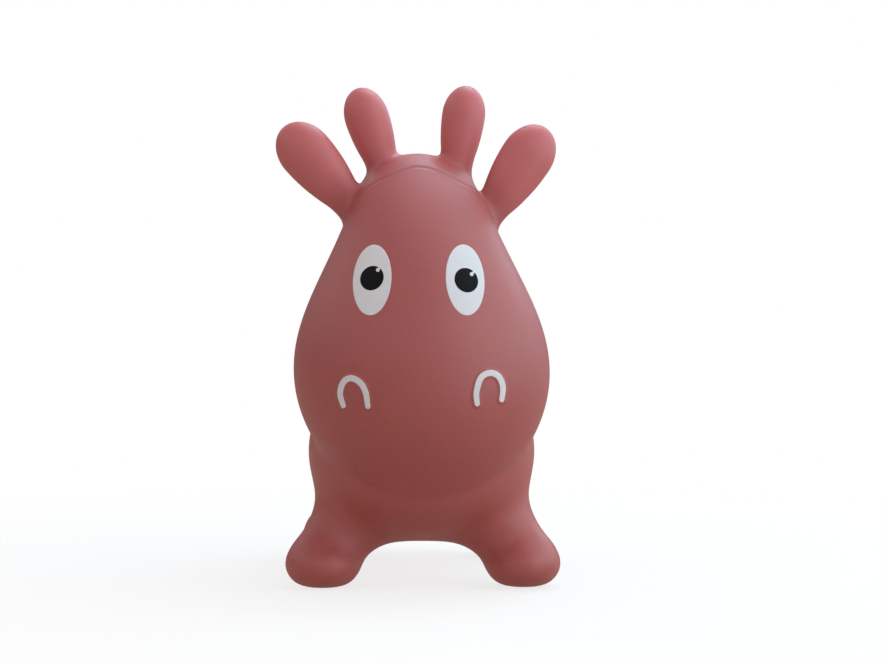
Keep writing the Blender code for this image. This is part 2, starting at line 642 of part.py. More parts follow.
# ------------------------------------------------------------------ build
def main():
    clear_scene()
    rose = material("rose_pvc", (0.42, 0.125, 0.125), 0.55)
    white = material("eye_white_print", (0.66, 0.67, 0.66), 0.5)
    black = material("pupil_print", (0.012, 0.012, 0.013), 0.4)
    pale = material("nostril_print", (0.60, 0.58, 0.56), 0.5)
    seat_mat = material("valve_seat_pvc", (0.36, 0.11, 0.11), 0.45)
    plug_mat = material("valve_plug_plastic", (0.62, 0.60, 0.57), 0.4)
    core = hollow_skin()
    hinges = {}
    skins = []
    for side, word in ((1, "left"), (-1, "right")):
        for kind, rule, ring, radii, reach in (("ear", EAR[side], EAR_RING, (0.0252, 0.060), 0.160),
                                               ("horn", HORN[side], HORN_RING, (0.0275, 0.042), 0.140)):
            axis = unit(rule[0], rule[1])
            core, a, b = divide(core, rule[0], axis, ring, radii, reach, f"{kind}_{word}", f"{kind}_root_{word}")
            skins += [a, b]
            hinges[a.name] = along(rule[0], axis, sum(ring) / 2)
        for kind in ("front", "rear"):
            point, axis = LEG_PLANE[kind]
            point, axis = mirrored(point, side), mirrored(axis, side)
            core, a, b = divide(core, point, axis, LEG_RING, (0.054, 0.085), 0.120,
                                f"{kind}_leg_{word}", f"{kind}_leg_root_{word}")
            skins += [a, b]
            hinges[a.name] = along(point, axis, sum(LEG_RING) / 2)
    axis = unit(TAIL[0], TAIL[1])
    core, a, b = divide(core, TAIL[0], axis, TAIL_RING, (0.024, 0.040), 0.090, "tail", "tail_root")
    skins += [a, b]
    hinges["tail"] = along(TAIL[0], axis, sum(TAIL_RING) / 2)
    point, axis = NECK_PLANE
    core, a, b = divide(core, point, axis, NECK_RING, (0.40, 0.40), 0.60, "head", "neck_fold")
    skins += [a, b]
    hinges["head"] = along(point, axis, sum(NECK_RING) / 2)
    hole = slab((VALVE[0], VALVE[1] - 0.03, VALVE[2]), (0, 1, 0), 0.0, 0.06, SKIN_HOLE_R, SKIN_HOLE_R, sides=24)
    torso = new_object("torso", tidy(boolean(core, hole, "DIFFERENCE", "torso")))
    discard(core, hole)
    skins.append(torso)

    for obj in skins:
        obj.data.materials.clear()
        obj.data.materials.append(rose)
        obj.data.shade_smooth()
        obj.data.set_sharp_from_angle(angle=math.radians(50))

    # valve seat: flange outside the skin, tube through the hole; plug: domed head and stem
    top = 0.0004
    turned("valve_seat", [(SEAT_BORE_R, -0.0180), (SEAT_TUBE_R - 0.0006, -0.0180), (SEAT_TUBE_R, -0.0168),
                          (SEAT_TUBE_R, top), (SEAT_FLANGE_R, top), (SEAT_FLANGE_R, top + 0.0016),
                          (SEAT_FLANGE_R - 0.0008, top + 0.0024), (SEAT_BORE_R, top + 0.0024)], seat_mat)
    h = top + 0.0024 + GAP
    plug = turned("valve_plug", [(0.0, -0.0150), (PLUG_STEM_R - 0.0012, -0.0150), (PLUG_STEM_R, -0.0128),
                                 (PLUG_STEM_R, h), (PLUG_HEAD_R, h), (PLUG_HEAD_R, h + 0.0016),
                                 (PLUG_HEAD_R - 0.0010, h + 0.0024), (PLUG_HEAD_R - 0.0040, h + 0.0031),
                                 (0.0, h + 0.0034)], plug_mat)

    for side, word in ((1, "left"), (-1, "right")):
        c, half, turn = EYE[side]
        pc, ph, pt = PUPIL[side]
        g = GLINT[side]
        n = 24
        outer = oval_ring(c, half, turn, n)
        hole = [(pc[0] + (ph[0] + GAP) * math.cos(2 * math.pi * i / n + turn),
                 pc[1] + (ph[1] + GAP) * math.sin(2 * math.pi * i / n + turn)) for i in range(n)]
        film(f"eye_white_{word}", [outer, between(outer, hole, 0.5), hole], white)
        rim = [(pc[0] + ph[0] * math.cos(2 * math.pi * i / n), pc[1] + ph[1] * math.sin(2 * math.pi * i / n)) for i in range(n)]
        spot = [(g[0] + (GLINT_R + GAP) * math.cos(2 * math.pi * i / n), g[1] + (GLINT_R + GAP) * math.sin(2 * math.pi * i / n)) for i in range(n)]
        film(f"pupil_{word}", [rim, spot], black)
        dot = [(g[0] + GLINT_R * math.cos(2 * math.pi * i / 12), g[1] + GLINT_R * math.sin(2 * math.pi * i / 12)) for i in range(12)]
        film(f"eye_glint_{word}", [dot], white, cap_centre=g)
        nostril(f"nostril_{word}", side, pale)

    for obj in bpy.data.objects:
        obj.data.transform(Matrix.Translation(PLACE))
    hinges = {name: tuple(Vector(point) + Vector(PLACE)) for name, point in hinges.items()}

    # each moving piece hangs from an empty on its hinge, with its own origin there too
    moving = {"ear_left": [], "ear_right": [], "horn_left": [], "horn_right": [], "tail": [],
              "front_leg_left": [], "front_leg_right": [], "rear_leg_left": [], "rear_leg_right": [],
              "head": ["horn_root_left", "horn_root_right", "ear_root_left", "ear_root_right"]
                      + [f"{k}_{w}" for k in ("eye_white", "pupil", "eye_glint", "nostril") for w in ("left", "right")]}
    empties = {}
    for name, point in hinges.items():
        e = bpy.data.objects.new(f"hinge_{name}", None)
        e.empty_display_size = 0.02
        e.location = point
        bpy.context.scene.collection.objects.link(e)
        empties[name] = e
        for piece in [name] + moving[name]:
            obj = bpy.data.objects[piece]
            obj.data.transform(Matrix.Translation(-Vector(point)))
            obj.parent = e
    for name in ("ear_left", "ear_right", "horn_left", "horn_right"):
        e = empties[name]
        e.parent = empties["head"]
        e.location = Vector(hinges[name]) - Vector(hinges["head"])
    tip = (VALVE[0] + PLACE[0], VALVE[1] + PLACE[1] + h, VALVE[2])
    plug.data.transform(Matrix.Translation(-Vector(tip)))
    plug.location = tip


main()
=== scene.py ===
"""Looks of the inflatable hopping animal: one smooth hollow PVC skin in pieces that bend into one another,
printed eyes and nostrils, and the air valve at the rear.

Metres, +Z up. The animal faces -Y. Left is the animal's own left, +X.
"""
import math

import bmesh
import bpy
import numpy as np
from mathutils import Matrix, Vector
from mathutils.geometry import delaunay_2d_cdt


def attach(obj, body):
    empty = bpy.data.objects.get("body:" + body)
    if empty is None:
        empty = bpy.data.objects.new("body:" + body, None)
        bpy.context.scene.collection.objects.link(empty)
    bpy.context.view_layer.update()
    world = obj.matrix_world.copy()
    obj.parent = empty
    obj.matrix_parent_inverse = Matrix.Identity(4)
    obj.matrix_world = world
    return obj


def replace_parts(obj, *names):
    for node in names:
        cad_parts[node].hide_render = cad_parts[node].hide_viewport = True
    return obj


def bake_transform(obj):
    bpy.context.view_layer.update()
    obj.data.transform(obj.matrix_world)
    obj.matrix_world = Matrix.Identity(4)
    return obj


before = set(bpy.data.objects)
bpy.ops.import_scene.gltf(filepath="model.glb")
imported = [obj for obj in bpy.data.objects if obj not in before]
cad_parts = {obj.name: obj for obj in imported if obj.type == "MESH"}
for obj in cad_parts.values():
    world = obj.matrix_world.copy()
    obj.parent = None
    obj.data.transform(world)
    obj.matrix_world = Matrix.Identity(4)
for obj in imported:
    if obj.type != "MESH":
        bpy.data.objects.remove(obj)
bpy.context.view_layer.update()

# ------------------------------------------------------------------ dimensions, the same as the CAD part's
PLACE = np.array((0.0043, -0.0273, 0.0))
WALL = 0.0022
HEAD_MID, HEAD_HALF = 0.2835, 0.1745
HEAD_WIDTH = (0.1324, -0.0516, -0.0182, 0.0261, 0.0559)
HEAD_FRONT = (0.126, -0.040, -0.012)
HEAD_BACK = 0.100
HEAD_Y = (-0.118, 0.022)
HEAD_LEAN = (-0.0006, -0.0030)
CHIN_DROP = (0.58, 0.45)
CHEST_C, CHEST_R = (0.0, -0.026, 0.1455), (0.1262, 0.1720, 0.1000)
CHEST_BLUNT = 2.8
RUMP_C, RUMP_R = (0.0, 0.150, 0.1660), (0.1240, 0.1300, 0.1200)
TRUNK_BLEND = 0.070
NECK_A, NECK_B, NECK_RA, NECK_RB = (0.0, 0.0, 0.220), (-0.005, -0.060, 0.400), 0.097, 0.0755
FRONT_HIP, FRONT_FOOT = (0.053, -0.084, 0.104), {-1: (0.1070, -0.122, 0.034), 1: (0.1104, -0.114, 0.034)}
REAR_HIP, REAR_FOOT = (0.055, 0.165, 0.110), {-1: (0.1035, 0.188, 0.034), 1: (0.1035, 0.188, 0.034)}
FRONT_R = (0.0441, 0.0329), (0.0394, 0.0460, 0.0270)
REAR_R = (0.0430, 0.031), (0.0370, 0.0450, 0.0270)
LEG_BLEND = 0.052
HORN = {-1: ((-0.0404, -0.060, 0.4548), (-0.0718, -0.048, 0.5484)), 1: ((0.0378, -0.060, 0.4550), (0.0516, -0.048, 0.5511))}
HORN_SHAPE = {-1: (0.0246, 0.0346, 2.69, 0.052), 1: (0.0239, 0.0335, 2.50, 0.052)}
EAR = {-1: ((-0.0709, -0.086, 0.4108), (-0.1528, -0.070, 0.5042)), 1: ((0.0718, -0.086, 0.4035), (0.1376, -0.070, 0.5035))}
EAR_SHAPE = {-1: (0.0297, 0.0379, 2.42, 0.068), 1: (0.0291, 0.0379, 2.42, 0.074)}
HORN_FLAT, EAR_FLAT = 0.94, 0.72
CROWN_FILLET = (0.007, 0.370, 0.030)
CHIN_FILLET = (0.008, 0.095, 0.050, 0.200, 0.080)
CHIN_GROOVE = (0.0011, 0.0045)
TAIL = ((0.0, 0.2564, 0.2350), (0.0, 0.2940, 0.2573), 0.0150, 0.0165)
ROOT_DEEPER = 0.014
ROOT_EASE = (0.012, 0.024)
HORN_RING = (0.0270, 0.0390)
EAR_RING = (0.0250, 0.0390)
TAIL_RING = (0.0110, 0.0210)
LEG_PLANE = {"front": ((0.0815, -0.103, 0.0660), (0.53, -0.20, -0.82)),
             "rear": ((0.0770, 0.176, 0.0660), (0.53, 0.16, -0.83))}
LEG_RING = (0.0, 0.0125)
NECK_PLANE = ((0.0, -0.055, 0.205), (0.0, -0.614, 0.789))
NECK_RING = (-0.018, 0.018)
VALVE = (0.0, 0.2800, 0.150)
SKIN_HOLE_R = 0.0128
EYE = {-1: ((-0.0523, 0.3362), (0.0205, 0.0373), math.radians(-4)), 1: ((0.0462, 0.3363), (0.0205, 0.0374), math.radians(4))}
PUPIL = {-1: ((-0.0525, 0.3380), (0.0120, 0.0134), math.radians(-38)), 1: ((0.0474, 0.3358), (0.0120, 0.0134), math.radians(38))}
GLINT = {-1: (-0.0462, 0.3466), 1: (0.0533, 0.3422)}
GLINT_R = 0.0021
NOSTRIL = {-1: ((-0.0822, 0.2040), (-0.0855, 0.2165), (-0.0822, 0.2285), (-0.0740, 0.2333), (-0.0643, 0.2288), (-0.0585, 0.2190), (-0.0561, 0.2040)),
           1: ((0.0582, 0.2068), (0.0574, 0.2190), (0.0622, 0.2340), (0.0718, 0.2388), (0.0808, 0.2350), (0.0855, 0.2240), (0.0843, 0.2103))}
NOSTRIL_BAND = 0.0062

# of the looks only
STEP = 0.0032            # spacing of the skin's mesh
RIDGE = 0.0009           # the skin rises this much under the nostrils' print
RIDGE_HALF = 0.0034      # half the ridge's flat top
RIDGE_SOFT = 0.0028      # width of its soft flank
PAINTED_GLOW_REACH = 0.034       # painted light: the ears and horns reach their full painted glow, a lighter colour standing in for light through their thin walls, this far from the head
ARCH = ((-0.0763, -0.0966, 0.4176), (-0.0694, -0.1099, 0.4260), (-0.0617, -0.1139, 0.4336), (-0.0474, -0.1160, 0.4433),
        (-0.0322, -0.1165, 0.4498), (-0.0191, -0.1134, 0.4554), (-0.0060, -0.1102, 0.4588), (0.0115, -0.1112, 0.4565),
        (0.0289, -0.1137, 0.4499), (0.0442, -0.1156, 0.4411), (0.0586, -0.1044, 0.4338), (0.0689, -0.0868, 0.4244))
ARCH_DEPTH = 0.0012      # a fine crease over the forehead, and the low lip in front of it
ARCH_HALF = 0.0024
ARCH_LIP = 0.0004
WORD = {1: "left", -1: "right"}


# ------------------------------------------------------------------ the skin's rule, in the part's own measuring frame
def blend_min(a, b, k):
    h = np.maximum(k - np.abs(a - b), 0.0) / k
    return np.minimum(a, b) - h * h * h * k / 6.0


def blend_max(a, b, k):
    return -blend_min(-a, -b, k)


def club(p, a, b, ra, rb):
    a, b = np.array(a), np.array(b)
    ba = b - a
    l2 = ba @ ba
    rr = ra - rb
    a2 = l2 - rr * rr
    pa = p - a
    y = pa @ ba
    z = y - l2
    w = pa * l2 - ba * y[..., None]
    x2 = (w * w).sum(-1)
    y2, z2 = y * y * l2, z * z * l2
    k = np.sign(rr) * rr * rr * x2
    side = (np.sqrt(x2 * a2 / l2) + y * rr) / l2 - ra
    low = np.sqrt(x2 + y2) / l2 - ra
    high = np.sqrt(x2 + z2) / l2 - rb
    return np.where(np.sign(z) * a2 * z2 > k, high, np.where(np.sign(y) * a2 * y2 < k, low, side))


def oval(p, c, r):
    q = p - np.array(c)
    r = np.array(r)
    k0 = np.sqrt(((q / r) ** 2).sum(-1))
    k1 = np.sqrt(((q / (r * r)) ** 2).sum(-1))
    return k0 * (k0 - 1.0) / np.maximum(k1, 1e-9)


def powers(t, coefficients):
    return sum(c * t ** i for i, c in enumerate(coefficients))


def head_rule(p):
    t = (p[..., 2] - HEAD_MID) / HEAD_HALF
    t = t + CHIN_DROP[1] * np.clip(-CHIN_DROP[0] - t, 0.0, 0.8) ** 2
    tc = np.clip(t, -1.05, 1.05)
    gx = powers(tc, HEAD_WIDTH)
    x = p[..., 0] - powers(tc, HEAD_LEAN)
    y = p[..., 1] - powers(tc, HEAD_Y)
    gy = np.where(y < 0, powers(tc, HEAD_FRONT), HEAD_BACK)
    k0 = np.sqrt((x / gx) ** 2 + (y / gy) ** 2 + t * t)
    k1 = np.sqrt((x / gx ** 2) ** 2 + (y / gy ** 2) ** 2 + (t / HEAD_HALF) ** 2)
    return k0 * (k0 - 1.0) / np.maximum(k1, 1e-9)


def chest_rule(p):
    """an oval, with its front half blunter than its back half"""
    q = p - np.array(CHEST_C)
    r = np.array(CHEST_R)
    u = (q[..., 0] / r[0]) ** 2 + (q[..., 2] / r[2]) ** 2
    v = np.abs(q[..., 1]) / r[1]
    n = np.where(q[..., 1] < 0.0, CHEST_BLUNT, 2.0)
    u, v = np.maximum(u, 1e-6), np.maximum(v, 1e-4)
    k0 = np.maximum((u ** (n / 2) + v ** n) ** (1.0 / n), 0.05)
    around = (q[..., 0] / r[0] ** 2) ** 2 + (q[..., 2] / r[2] ** 2) ** 2
    k1 = k0 ** (1.0 - n) * np.sqrt(u ** (n - 2.0) * around + v ** (2.0 * n - 2.0) / r[1] ** 2)
    return (k0 - 1.0) / np.maximum(k1, 1e-9)


def mirrored(c, side):
    return (c[0] * side, c[1], c[2])


def leg_rule(p, side, hip, foot, radii):
    hip, foot = mirrored(hip, side), mirrored(foot[side], side)
    pad = (foot[0] + 0.001 * side, foot[1] - 0.003, foot[2] - 0.009)
    return blend_min(club(p, hip, foot, *radii[0]), oval(p, pad, radii[1]), 0.025)


def paddle(p, root, tip, shape, flat, facing):
    """distance to a soft horn or ear: a rounded end, then a taper towards its root, flattened one way"""
    width, nose, taper, reach = shape
    a, b = np.array(root), np.array(tip)
    length = np.linalg.norm(b - a)
    u = (b - a) / length
    n = np.array(facing) - np.dot(facing, u) * u
    n = n / np.linalg.norm(n)
    q = p - b
    s = -(q @ u)
    f2 = (q @ n) ** 2
    e2 = np.maximum((q * q).sum(-1) - s * s - f2, 0.0)
    k0 = np.sqrt(((s - nose) / nose) ** 2 + e2 / width ** 2 + f2 / (width * flat) ** 2)
    k1 = np.sqrt(((s - nose) / nose ** 2) ** 2 + e2 / width ** 4 + f2 / (width * flat) ** 4)
    front = k0 * (k0 - 1.0) / np.maximum(k1, 1e-9)
    back = np.maximum(s - nose, 0.0)
    even = np.clip(back - (reach - ROOT_EASE[0]), 0.0, ROOT_EASE[1])
    back = np.minimum(back, reach - ROOT_EASE[0])
    narrowing = back * back + 2.0 * back * even - even * even * back / ROOT_EASE[1]
    steep = 2.0 * taper * back * (1.0 - even / ROOT_EASE[1])
    rho = np.sqrt(e2 + f2 / flat ** 2)
    rise = np.sqrt(e2 + f2 / flat ** 4) / np.maximum(rho, 1e-9)
    side = (rho - width + taper * narrowing) / np.sqrt(np.maximum(rise, 0.2) ** 2 + steep ** 2)
    d = np.where(s < nose, front, side)
    beyond = np.maximum(s - length, 0.0)
    return np.where(beyond > 0.0, np.sqrt(np.maximum(d, 0.0) ** 2 + beyond ** 2), d)


def deeper(root, tip):
    """a limb's root moved along the limb, further into the head"""
    a, b = np.array(root), np.array(tip)
    return a - (b - a) / np.linalg.norm(b - a) * ROOT_DEEPER


def horn_rule(p, side):
    root, tip = HORN[side]
    return paddle(p, deeper(root, tip), tip, HORN_SHAPE[side], HORN_FLAT, (0.0, -1.0, 0.1))


def ear_rule(p, side):
    root, tip = EAR[side]
    return paddle(p, deeper(root, tip), tip, EAR_SHAPE[side], EAR_FLAT, (0.1 * side, -1.0, 0.15))


def soft_step(t):
    t = np.clip(t, 0.0, 1.0)
    return t * t * (3.0 - 2.0 * t)


def head_onto(d, p):
    """joins the head to the body: a wider fillet under the chin and at the crown, a tight one beside the cheeks, a groove under the chin"""
    head = head_rule(p)
    reach, half, soft, top, fade = CHIN_FILLET
    chin = soft_step((half - np.abs(p[..., 0])) / soft) * soft_step((top - p[..., 2]) / fade)
    crown = CROWN_FILLET[0] * soft_step((p[..., 2] - CROWN_FILLET[1]) / CROWN_FILLET[2])
    under = soft_step((0.175 - p[..., 2]) / 0.05)
    groove = CHIN_GROOVE[0] * under * np.exp(-((head - d) / CHIN_GROOVE[1]) ** 2)
    return blend_min(d, head, 0.010 + crown + reach * chin) + groove


def plain_rule(p):
    d = blend_min(chest_rule(p), oval(p, RUMP_C, RUMP_R), TRUNK_BLEND)
    d = blend_min(d, club(p, NECK_A, NECK_B, NECK_RA, NECK_RB), 0.070)
    for side in (-1, 1):
        d = blend_min(d, leg_rule(p, side, FRONT_HIP, FRONT_FOOT, FRONT_R), LEG_BLEND)
        d = blend_min(d, leg_rule(p, side, REAR_HIP, REAR_FOOT, REAR_R), LEG_BLEND)
    d = blend_min(d, club(p, *TAIL), 0.014)
    for side in (-1, 1):
        d = blend_min(d, blend_min(horn_rule(p, side), ear_rule(p, side), 0.018), 0.014)
    d = head_onto(d, p)
    return blend_max(d, -p[..., 2], 0.012)


def nostril_line(side, n=40):
    """points spread evenly on the smooth curve through a nostril's middle line, as (x, z) seen from the front"""
    q = np.array(NOSTRIL[side])
    q = np.concatenate([[2 * q[0] - q[1]], q, [2 * q[-1] - q[-2]]])
    curve = [q[1]]
    for i in range(1, len(q) - 2):
        a, b, c, d = q[i - 1:i + 3]
        for t in np.linspace(0, 1, 17)[1:]:
            curve.append(0.5 * (2 * b + (c - a) * t + (2 * a - 5 * b + 4 * c - d) * t * t + (3 * b - a - 3 * c + d) * t ** 3))
    curve = np.array(curve)
    s = np.concatenate([[0], np.cumsum(np.linalg.norm(np.diff(curve, axis=0), axis=1))])
    t = np.linspace(0, s[-1], n)
    return np.stack([np.interp(t, s, curve[:, 0]), np.interp(t, s, curve[:, 1])], 1)


def line_distance(x, line):
    """distance in the plane from points to a broken line"""
    best = np.full(len(x), 1e9)
    for a, b in zip(line, line[1:]):
        d = b - a
        t = np.clip(((x - a) @ d) / (d @ d), 0, 1)
        best = np.minimum(best, np.linalg.norm(x - a - t[:, None] * d, axis=1))
    return best


NOSTRIL_LINES = {side: nostril_line(side, 22) for side in (-1, 1)}
NOSTRIL_MID = {side: (line.min(0) + line.max(0)) / 2 for side, line in NOSTRIL_LINES.items()}


def arch_line(n=60):
    """points spread evenly on the smooth curve where the forehead meets the crown"""
    q = np.array(ARCH)
    q = np.concatenate([[2 * q[0] - q[1]], q, [2 * q[-1] - q[-2]]])
    curve = [q[1]]
    for i in range(1, len(q) - 2):
        a, b, c, d = q[i - 1:i + 3]
        for t in np.linspace(0, 1, 9)[1:]:
            curve.append(0.5 * (2 * b + (c - a) * t + (2 * a - 5 * b + 4 * c - d) * t * t + (3 * b - a - 3 * c + d) * t ** 3))
    curve = np.array(curve)
    s = np.concatenate([[0], np.cumsum(np.linalg.norm(np.diff(curve, axis=0), axis=1))])
    t = np.linspace(0, s[-1], n)
    return np.stack([np.interp(t, s, curve[:, i]) for i in range(3)], 1)


ARCH_LINE = arch_line()


def relief(p):
    """small height added to the plain skin"""
    h = np.zeros(len(p))
    near = (p[:, 2] > 0.405) & (p[:, 2] < 0.47) & (np.abs(p[:, 0]) < 0.085) & (p[:, 1] < -0.07)
    if near.any():
        q = p[near]
        away = np.linalg.norm(q[:, None] - ARCH_LINE[None], axis=2)
        i = away.argmin(1)
        fade = soft_step(np.minimum(i, len(ARCH_LINE) - 1 - i) / 9.0)
        a, b = ARCH_LINE[np.maximum(i - 1, 0)], ARCH_LINE[np.minimum(i + 1, len(ARCH_LINE) - 1)]
        along = b - a
        along = along / np.linalg.norm(along, axis=1, keepdims=True)
        rel = q - ARCH_LINE[i]
        side = np.sqrt(np.maximum((rel * rel).sum(1) - (rel * along).sum(1) ** 2, 0.0))
        front = np.sign(rel[:, 1] * -1.0 - rel[:, 2] * 1.0)
        groove = -ARCH_DEPTH * np.exp(-(side / ARCH_HALF) ** 2)
        lip = ARCH_LIP * np.exp(-((side - 2.6 * ARCH_HALF) / (1.3 * ARCH_HALF)) ** 2) * (front > 0)
        h[near] += (groove + lip) * fade
    front = p[:, 1] < -0.12
    for side in (-1, 1):
        c = NOSTRIL_MID[side]
        near = front & (np.abs(p[:, 0] - c[0]) < 0.028) & (np.abs(p[:, 2] - c[1]) < 0.028)
        if near.any():
            d = line_distance(p[near][:, (0, 2)], NOSTRIL_LINES[side])
            t = np.clip((d - RIDGE_HALF) / RIDGE_SOFT, 0.0, 1.0)
            h[near] += RIDGE * (1.0 - t * t * (3 - 2 * t))
    return h


def skin_rule(p):
    return plain_rule(p) - relief(p)


def slope(p, step=5e-5):
    g = np.empty_like(p)
    for i in range(3):
        e = np.zeros(3)
        e[i] = step
        g[:, i] = (skin_rule(p + e) - skin_rule(p - e)) / (2 * step)
    return g


def onto_rule(p, rounds=3, level=0.0, cap=0.004, stay=None):
    """moves points along the slope onto the rule's surface; stay is a direction they don't move in"""
    for _ in range(rounds):
        g = slope(p)
        if stay is not None:
            g = g - (g @ stay)[:, None] * stay
        move = (skin_rule(p) - level)[:, None] * g / np.maximum((g * g).sum(1), 1e-4)[:, None]
        length = np.linalg.norm(move, axis=1, keepdims=True)
        p = p - move * np.minimum(1.0, cap / np.maximum(length, 1e-12))
    return p


def normals_at(p):
    g = slope(p)
    return g / np.maximum(np.linalg.norm(g, axis=1, keepdims=True), 1e-9)


# ------------------------------------------------------------------ meshing the rule
def rule_mesh(low, high, h):
    """quads on the rule's surface from a grid; cells far from the surface are skipped"""
    low, high = np.array(low), np.array(high)
    n = np.ceil((high - low) / h).astype(int) + 1
    axes = [low[i] + h * np.arange(n[i]) for i in range(3)]
    block = 6
    field = np.full(n, 1.0)
    starts = np.stack(np.meshgrid(*[np.arange(0, n[i], block) for i in range(3)], indexing="ij"), -1).reshape(-1, 3)
    middle = low + h * np.minimum(starts + block // 2, n - 1)
    distance = plain_rule(middle)
    cube = np.stack(np.meshgrid(*[np.arange(block)] * 3, indexing="ij"), -1).reshape(-1, 3)
    near = np.abs(distance) <= h * block * 1.15
    for start, d in zip(starts[~near], distance[~near]):
        field[tuple(slice(v, v + block) for v in start)] = d
    for part in np.array_split(starts[near], max(1, int(near.sum()) // 500)):
        at = (part[:, None] + cube[None]).reshape(-1, 3)
        at = at[(at < n).all(1)]
        field[tuple(at.T)] = skin_rule(low + h * at)
    inside = field < 0
    cells = n - 1
    total = np.zeros(tuple(cells) + (3,))
    count = np.zeros(tuple(cells))

    def corner(a, o):
        return a[o[0]:o[0] + cells[0], o[1]:o[1] + cells[1], o[2]:o[2] + cells[2]]

    for a in range(3):
        for o in [(i, j, k) for i in (0, 1) for j in (0, 1) for k in (0, 1)]:
            if o[a]:
                continue
            o2 = tuple(o[m] + (m == a) for m in range(3))
            fa, fb = corner(field, o), corner(field, o2)
            crossed = (fa < 0) != (fb < 0)
            t = np.where(crossed, fa / np.where(crossed, fa - fb, 1), 0)
            for m in range(3):
                total[..., m] += np.where(crossed, o[m] + (t if m == a else 0), 0)
            count += crossed
    index = -np.ones(tuple(cells), int)
    there = count > 0
    index[there] = np.arange(there.sum())
    points = (np.argwhere(there) + total[there] / count[there][:, None]) * h + low
    quads = []
    for a in range(3):
        b, e = (a + 1) % 3, (a + 2) % 3
        s0, s1 = [slice(None)] * 3, [slice(None)] * 3
        s0[a], s1[a] = slice(0, -1), slice(1, None)
        first, second = inside[tuple(s0)], inside[tuple(s1)]
        at = np.argwhere(first != second)
        at = at[(at[:, b] > 0) & (at[:, e] > 0) & (at[:, b] < n[b] - 1) & (at[:, e] < n[e] - 1)]
        out = first[tuple(at.T)]

        def cell(db, de):
            q = at.copy()
            q[:, b] += db
            q[:, e] += de
            return index[tuple(q.T)]

        q = np.stack([cell(-1, -1), cell(0, -1), cell(0, 0), cell(-1, 0)], 1)
        q[~out] = q[~out][:, ::-1]
        quads.append(q)
    return points, np.concatenate(quads)


def relaxed(points, quads, rounds=6):
    """evens out the spacing of the points on the surface"""
    edges = np.concatenate([quads[:, [0, 1]], quads[:, [1, 2]], quads[:, [2, 3]], quads[:, [3, 0]]])
    ends, others = np.concatenate([edges[:, 0], edges[:, 1]]), np.concatenate([edges[:, 1], edges[:, 0]])
    count = np.bincount(ends, minlength=len(points))[:, None]
    corner = quads.ravel()

    def gathered(values, at):
        return np.stack([np.bincount(at, values[:, i], len(points)) for i in range(3)], 1)

    for _ in range(rounds):
        points = points + 0.5 * (gathered(points[others], ends) / count - points)
        across = np.cross(points[quads[:, 2]] - points[quads[:, 0]], points[quads[:, 3]] - points[quads[:, 1]])
        up = gathered(np.repeat(across, 4, axis=0), corner)
        up /= np.maximum(np.linalg.norm(up, axis=1, keepdims=True), 1e-12)
        d = skin_rule(points)
        rise = (skin_rule(points + up * 1e-4) - d) / 1e-4
        points = points - up * np.clip(d / np.where(np.abs(rise) < 0.3, 1.0, rise), -0.002, 0.002)[:, None]
    return onto_rule(points, 2)


def coords(bm):
    mesh = bpy.data.meshes.new("scratch")
    bm.to_mesh(mesh)
    p = np.empty(len(mesh.vertices) * 3, np.float32)
    mesh.vertices.foreach_get("co", p)
    bpy.data.meshes.remove(mesh)
    return p.reshape(-1, 3).astype(float)


def set_coords(bm, p, which=None):
    if which is None:
        which = np.ones(len(p), bool)
    bm.verts.ensure_lookup_table()
    for i, q in zip(np.where(which)[0].tolist(), p[which].tolist()):
        bm.verts[i].co = q


def skin_bmesh():
    points, quads = rule_mesh((-0.176, -0.272, -0.0064), (0.170, 0.326, 0.566), STEP)
    points = relaxed(points, quads)
    bm = bmesh.new()
    verts = [bm.verts.new(p) for p in points]
    for q in quads:
        bm.faces.new([verts[i] for i in q])
    bm.verts.index_update()
    # a finer net under the nostrils and along the crease over the forehead
    arch = [Vector(q) for q in ARCH_LINE]
    for finer in range(2):
        chosen = set()
        for f in bm.faces:
            c = f.calc_center_median()
            if c.y < -0.12 and any(abs(c.x - NOSTRIL_MID[s][0]) < 0.0250 and abs(c.z - NOSTRIL_MID[s][1]) < 0.0250 for s in (-1, 1)):
                chosen.update(f.edges)
            elif c.z > 0.40 and c.y < -0.07 and finer == 0 and min((c - q).length for q in arch) < 0.0110:
                chosen.update(f.edges)
        bmesh.ops.subdivide_edges(bm, edges=list(chosen), cuts=1, use_grid_fill=True)
    bm.verts.index_update()
    set_coords(bm, onto_rule(coords(bm), 3))
    return bm


LIMBS = {}       # name: (point, axis, start, end of the bend, radius of the region)
for side, word in WORD.items():
    for kind, rule, ring, radius, more in (("ear", EAR[side], EAR_RING, 0.0270, 0.012), ("horn", HORN[side], HORN_RING, 0.0275, 0.010)):
        a = Vector(rule[1]) - Vector(rule[0])
        LIMBS[f"{kind}_{word}"] = (Vector(rule[0]), a.normalized(), ring[0], ring[1] + more, radius)
    for kind in ("front", "rear"):
        point, axis = LEG_PLANE[kind]
        LIMBS[f"{kind}_leg_{word}"] = (Vector(mirrored(point, side)), Vector(mirrored(axis, side)).normalized(), LEG_RING[0], LEG_RING[1] + 0.014, 0.054)
LIMBS["tail"] = (Vector(TAIL[0]), (Vector(TAIL[1]) - Vector(TAIL[0])).normalized(), TAIL_RING[0], TAIL_RING[1] + 0.004, 0.024)


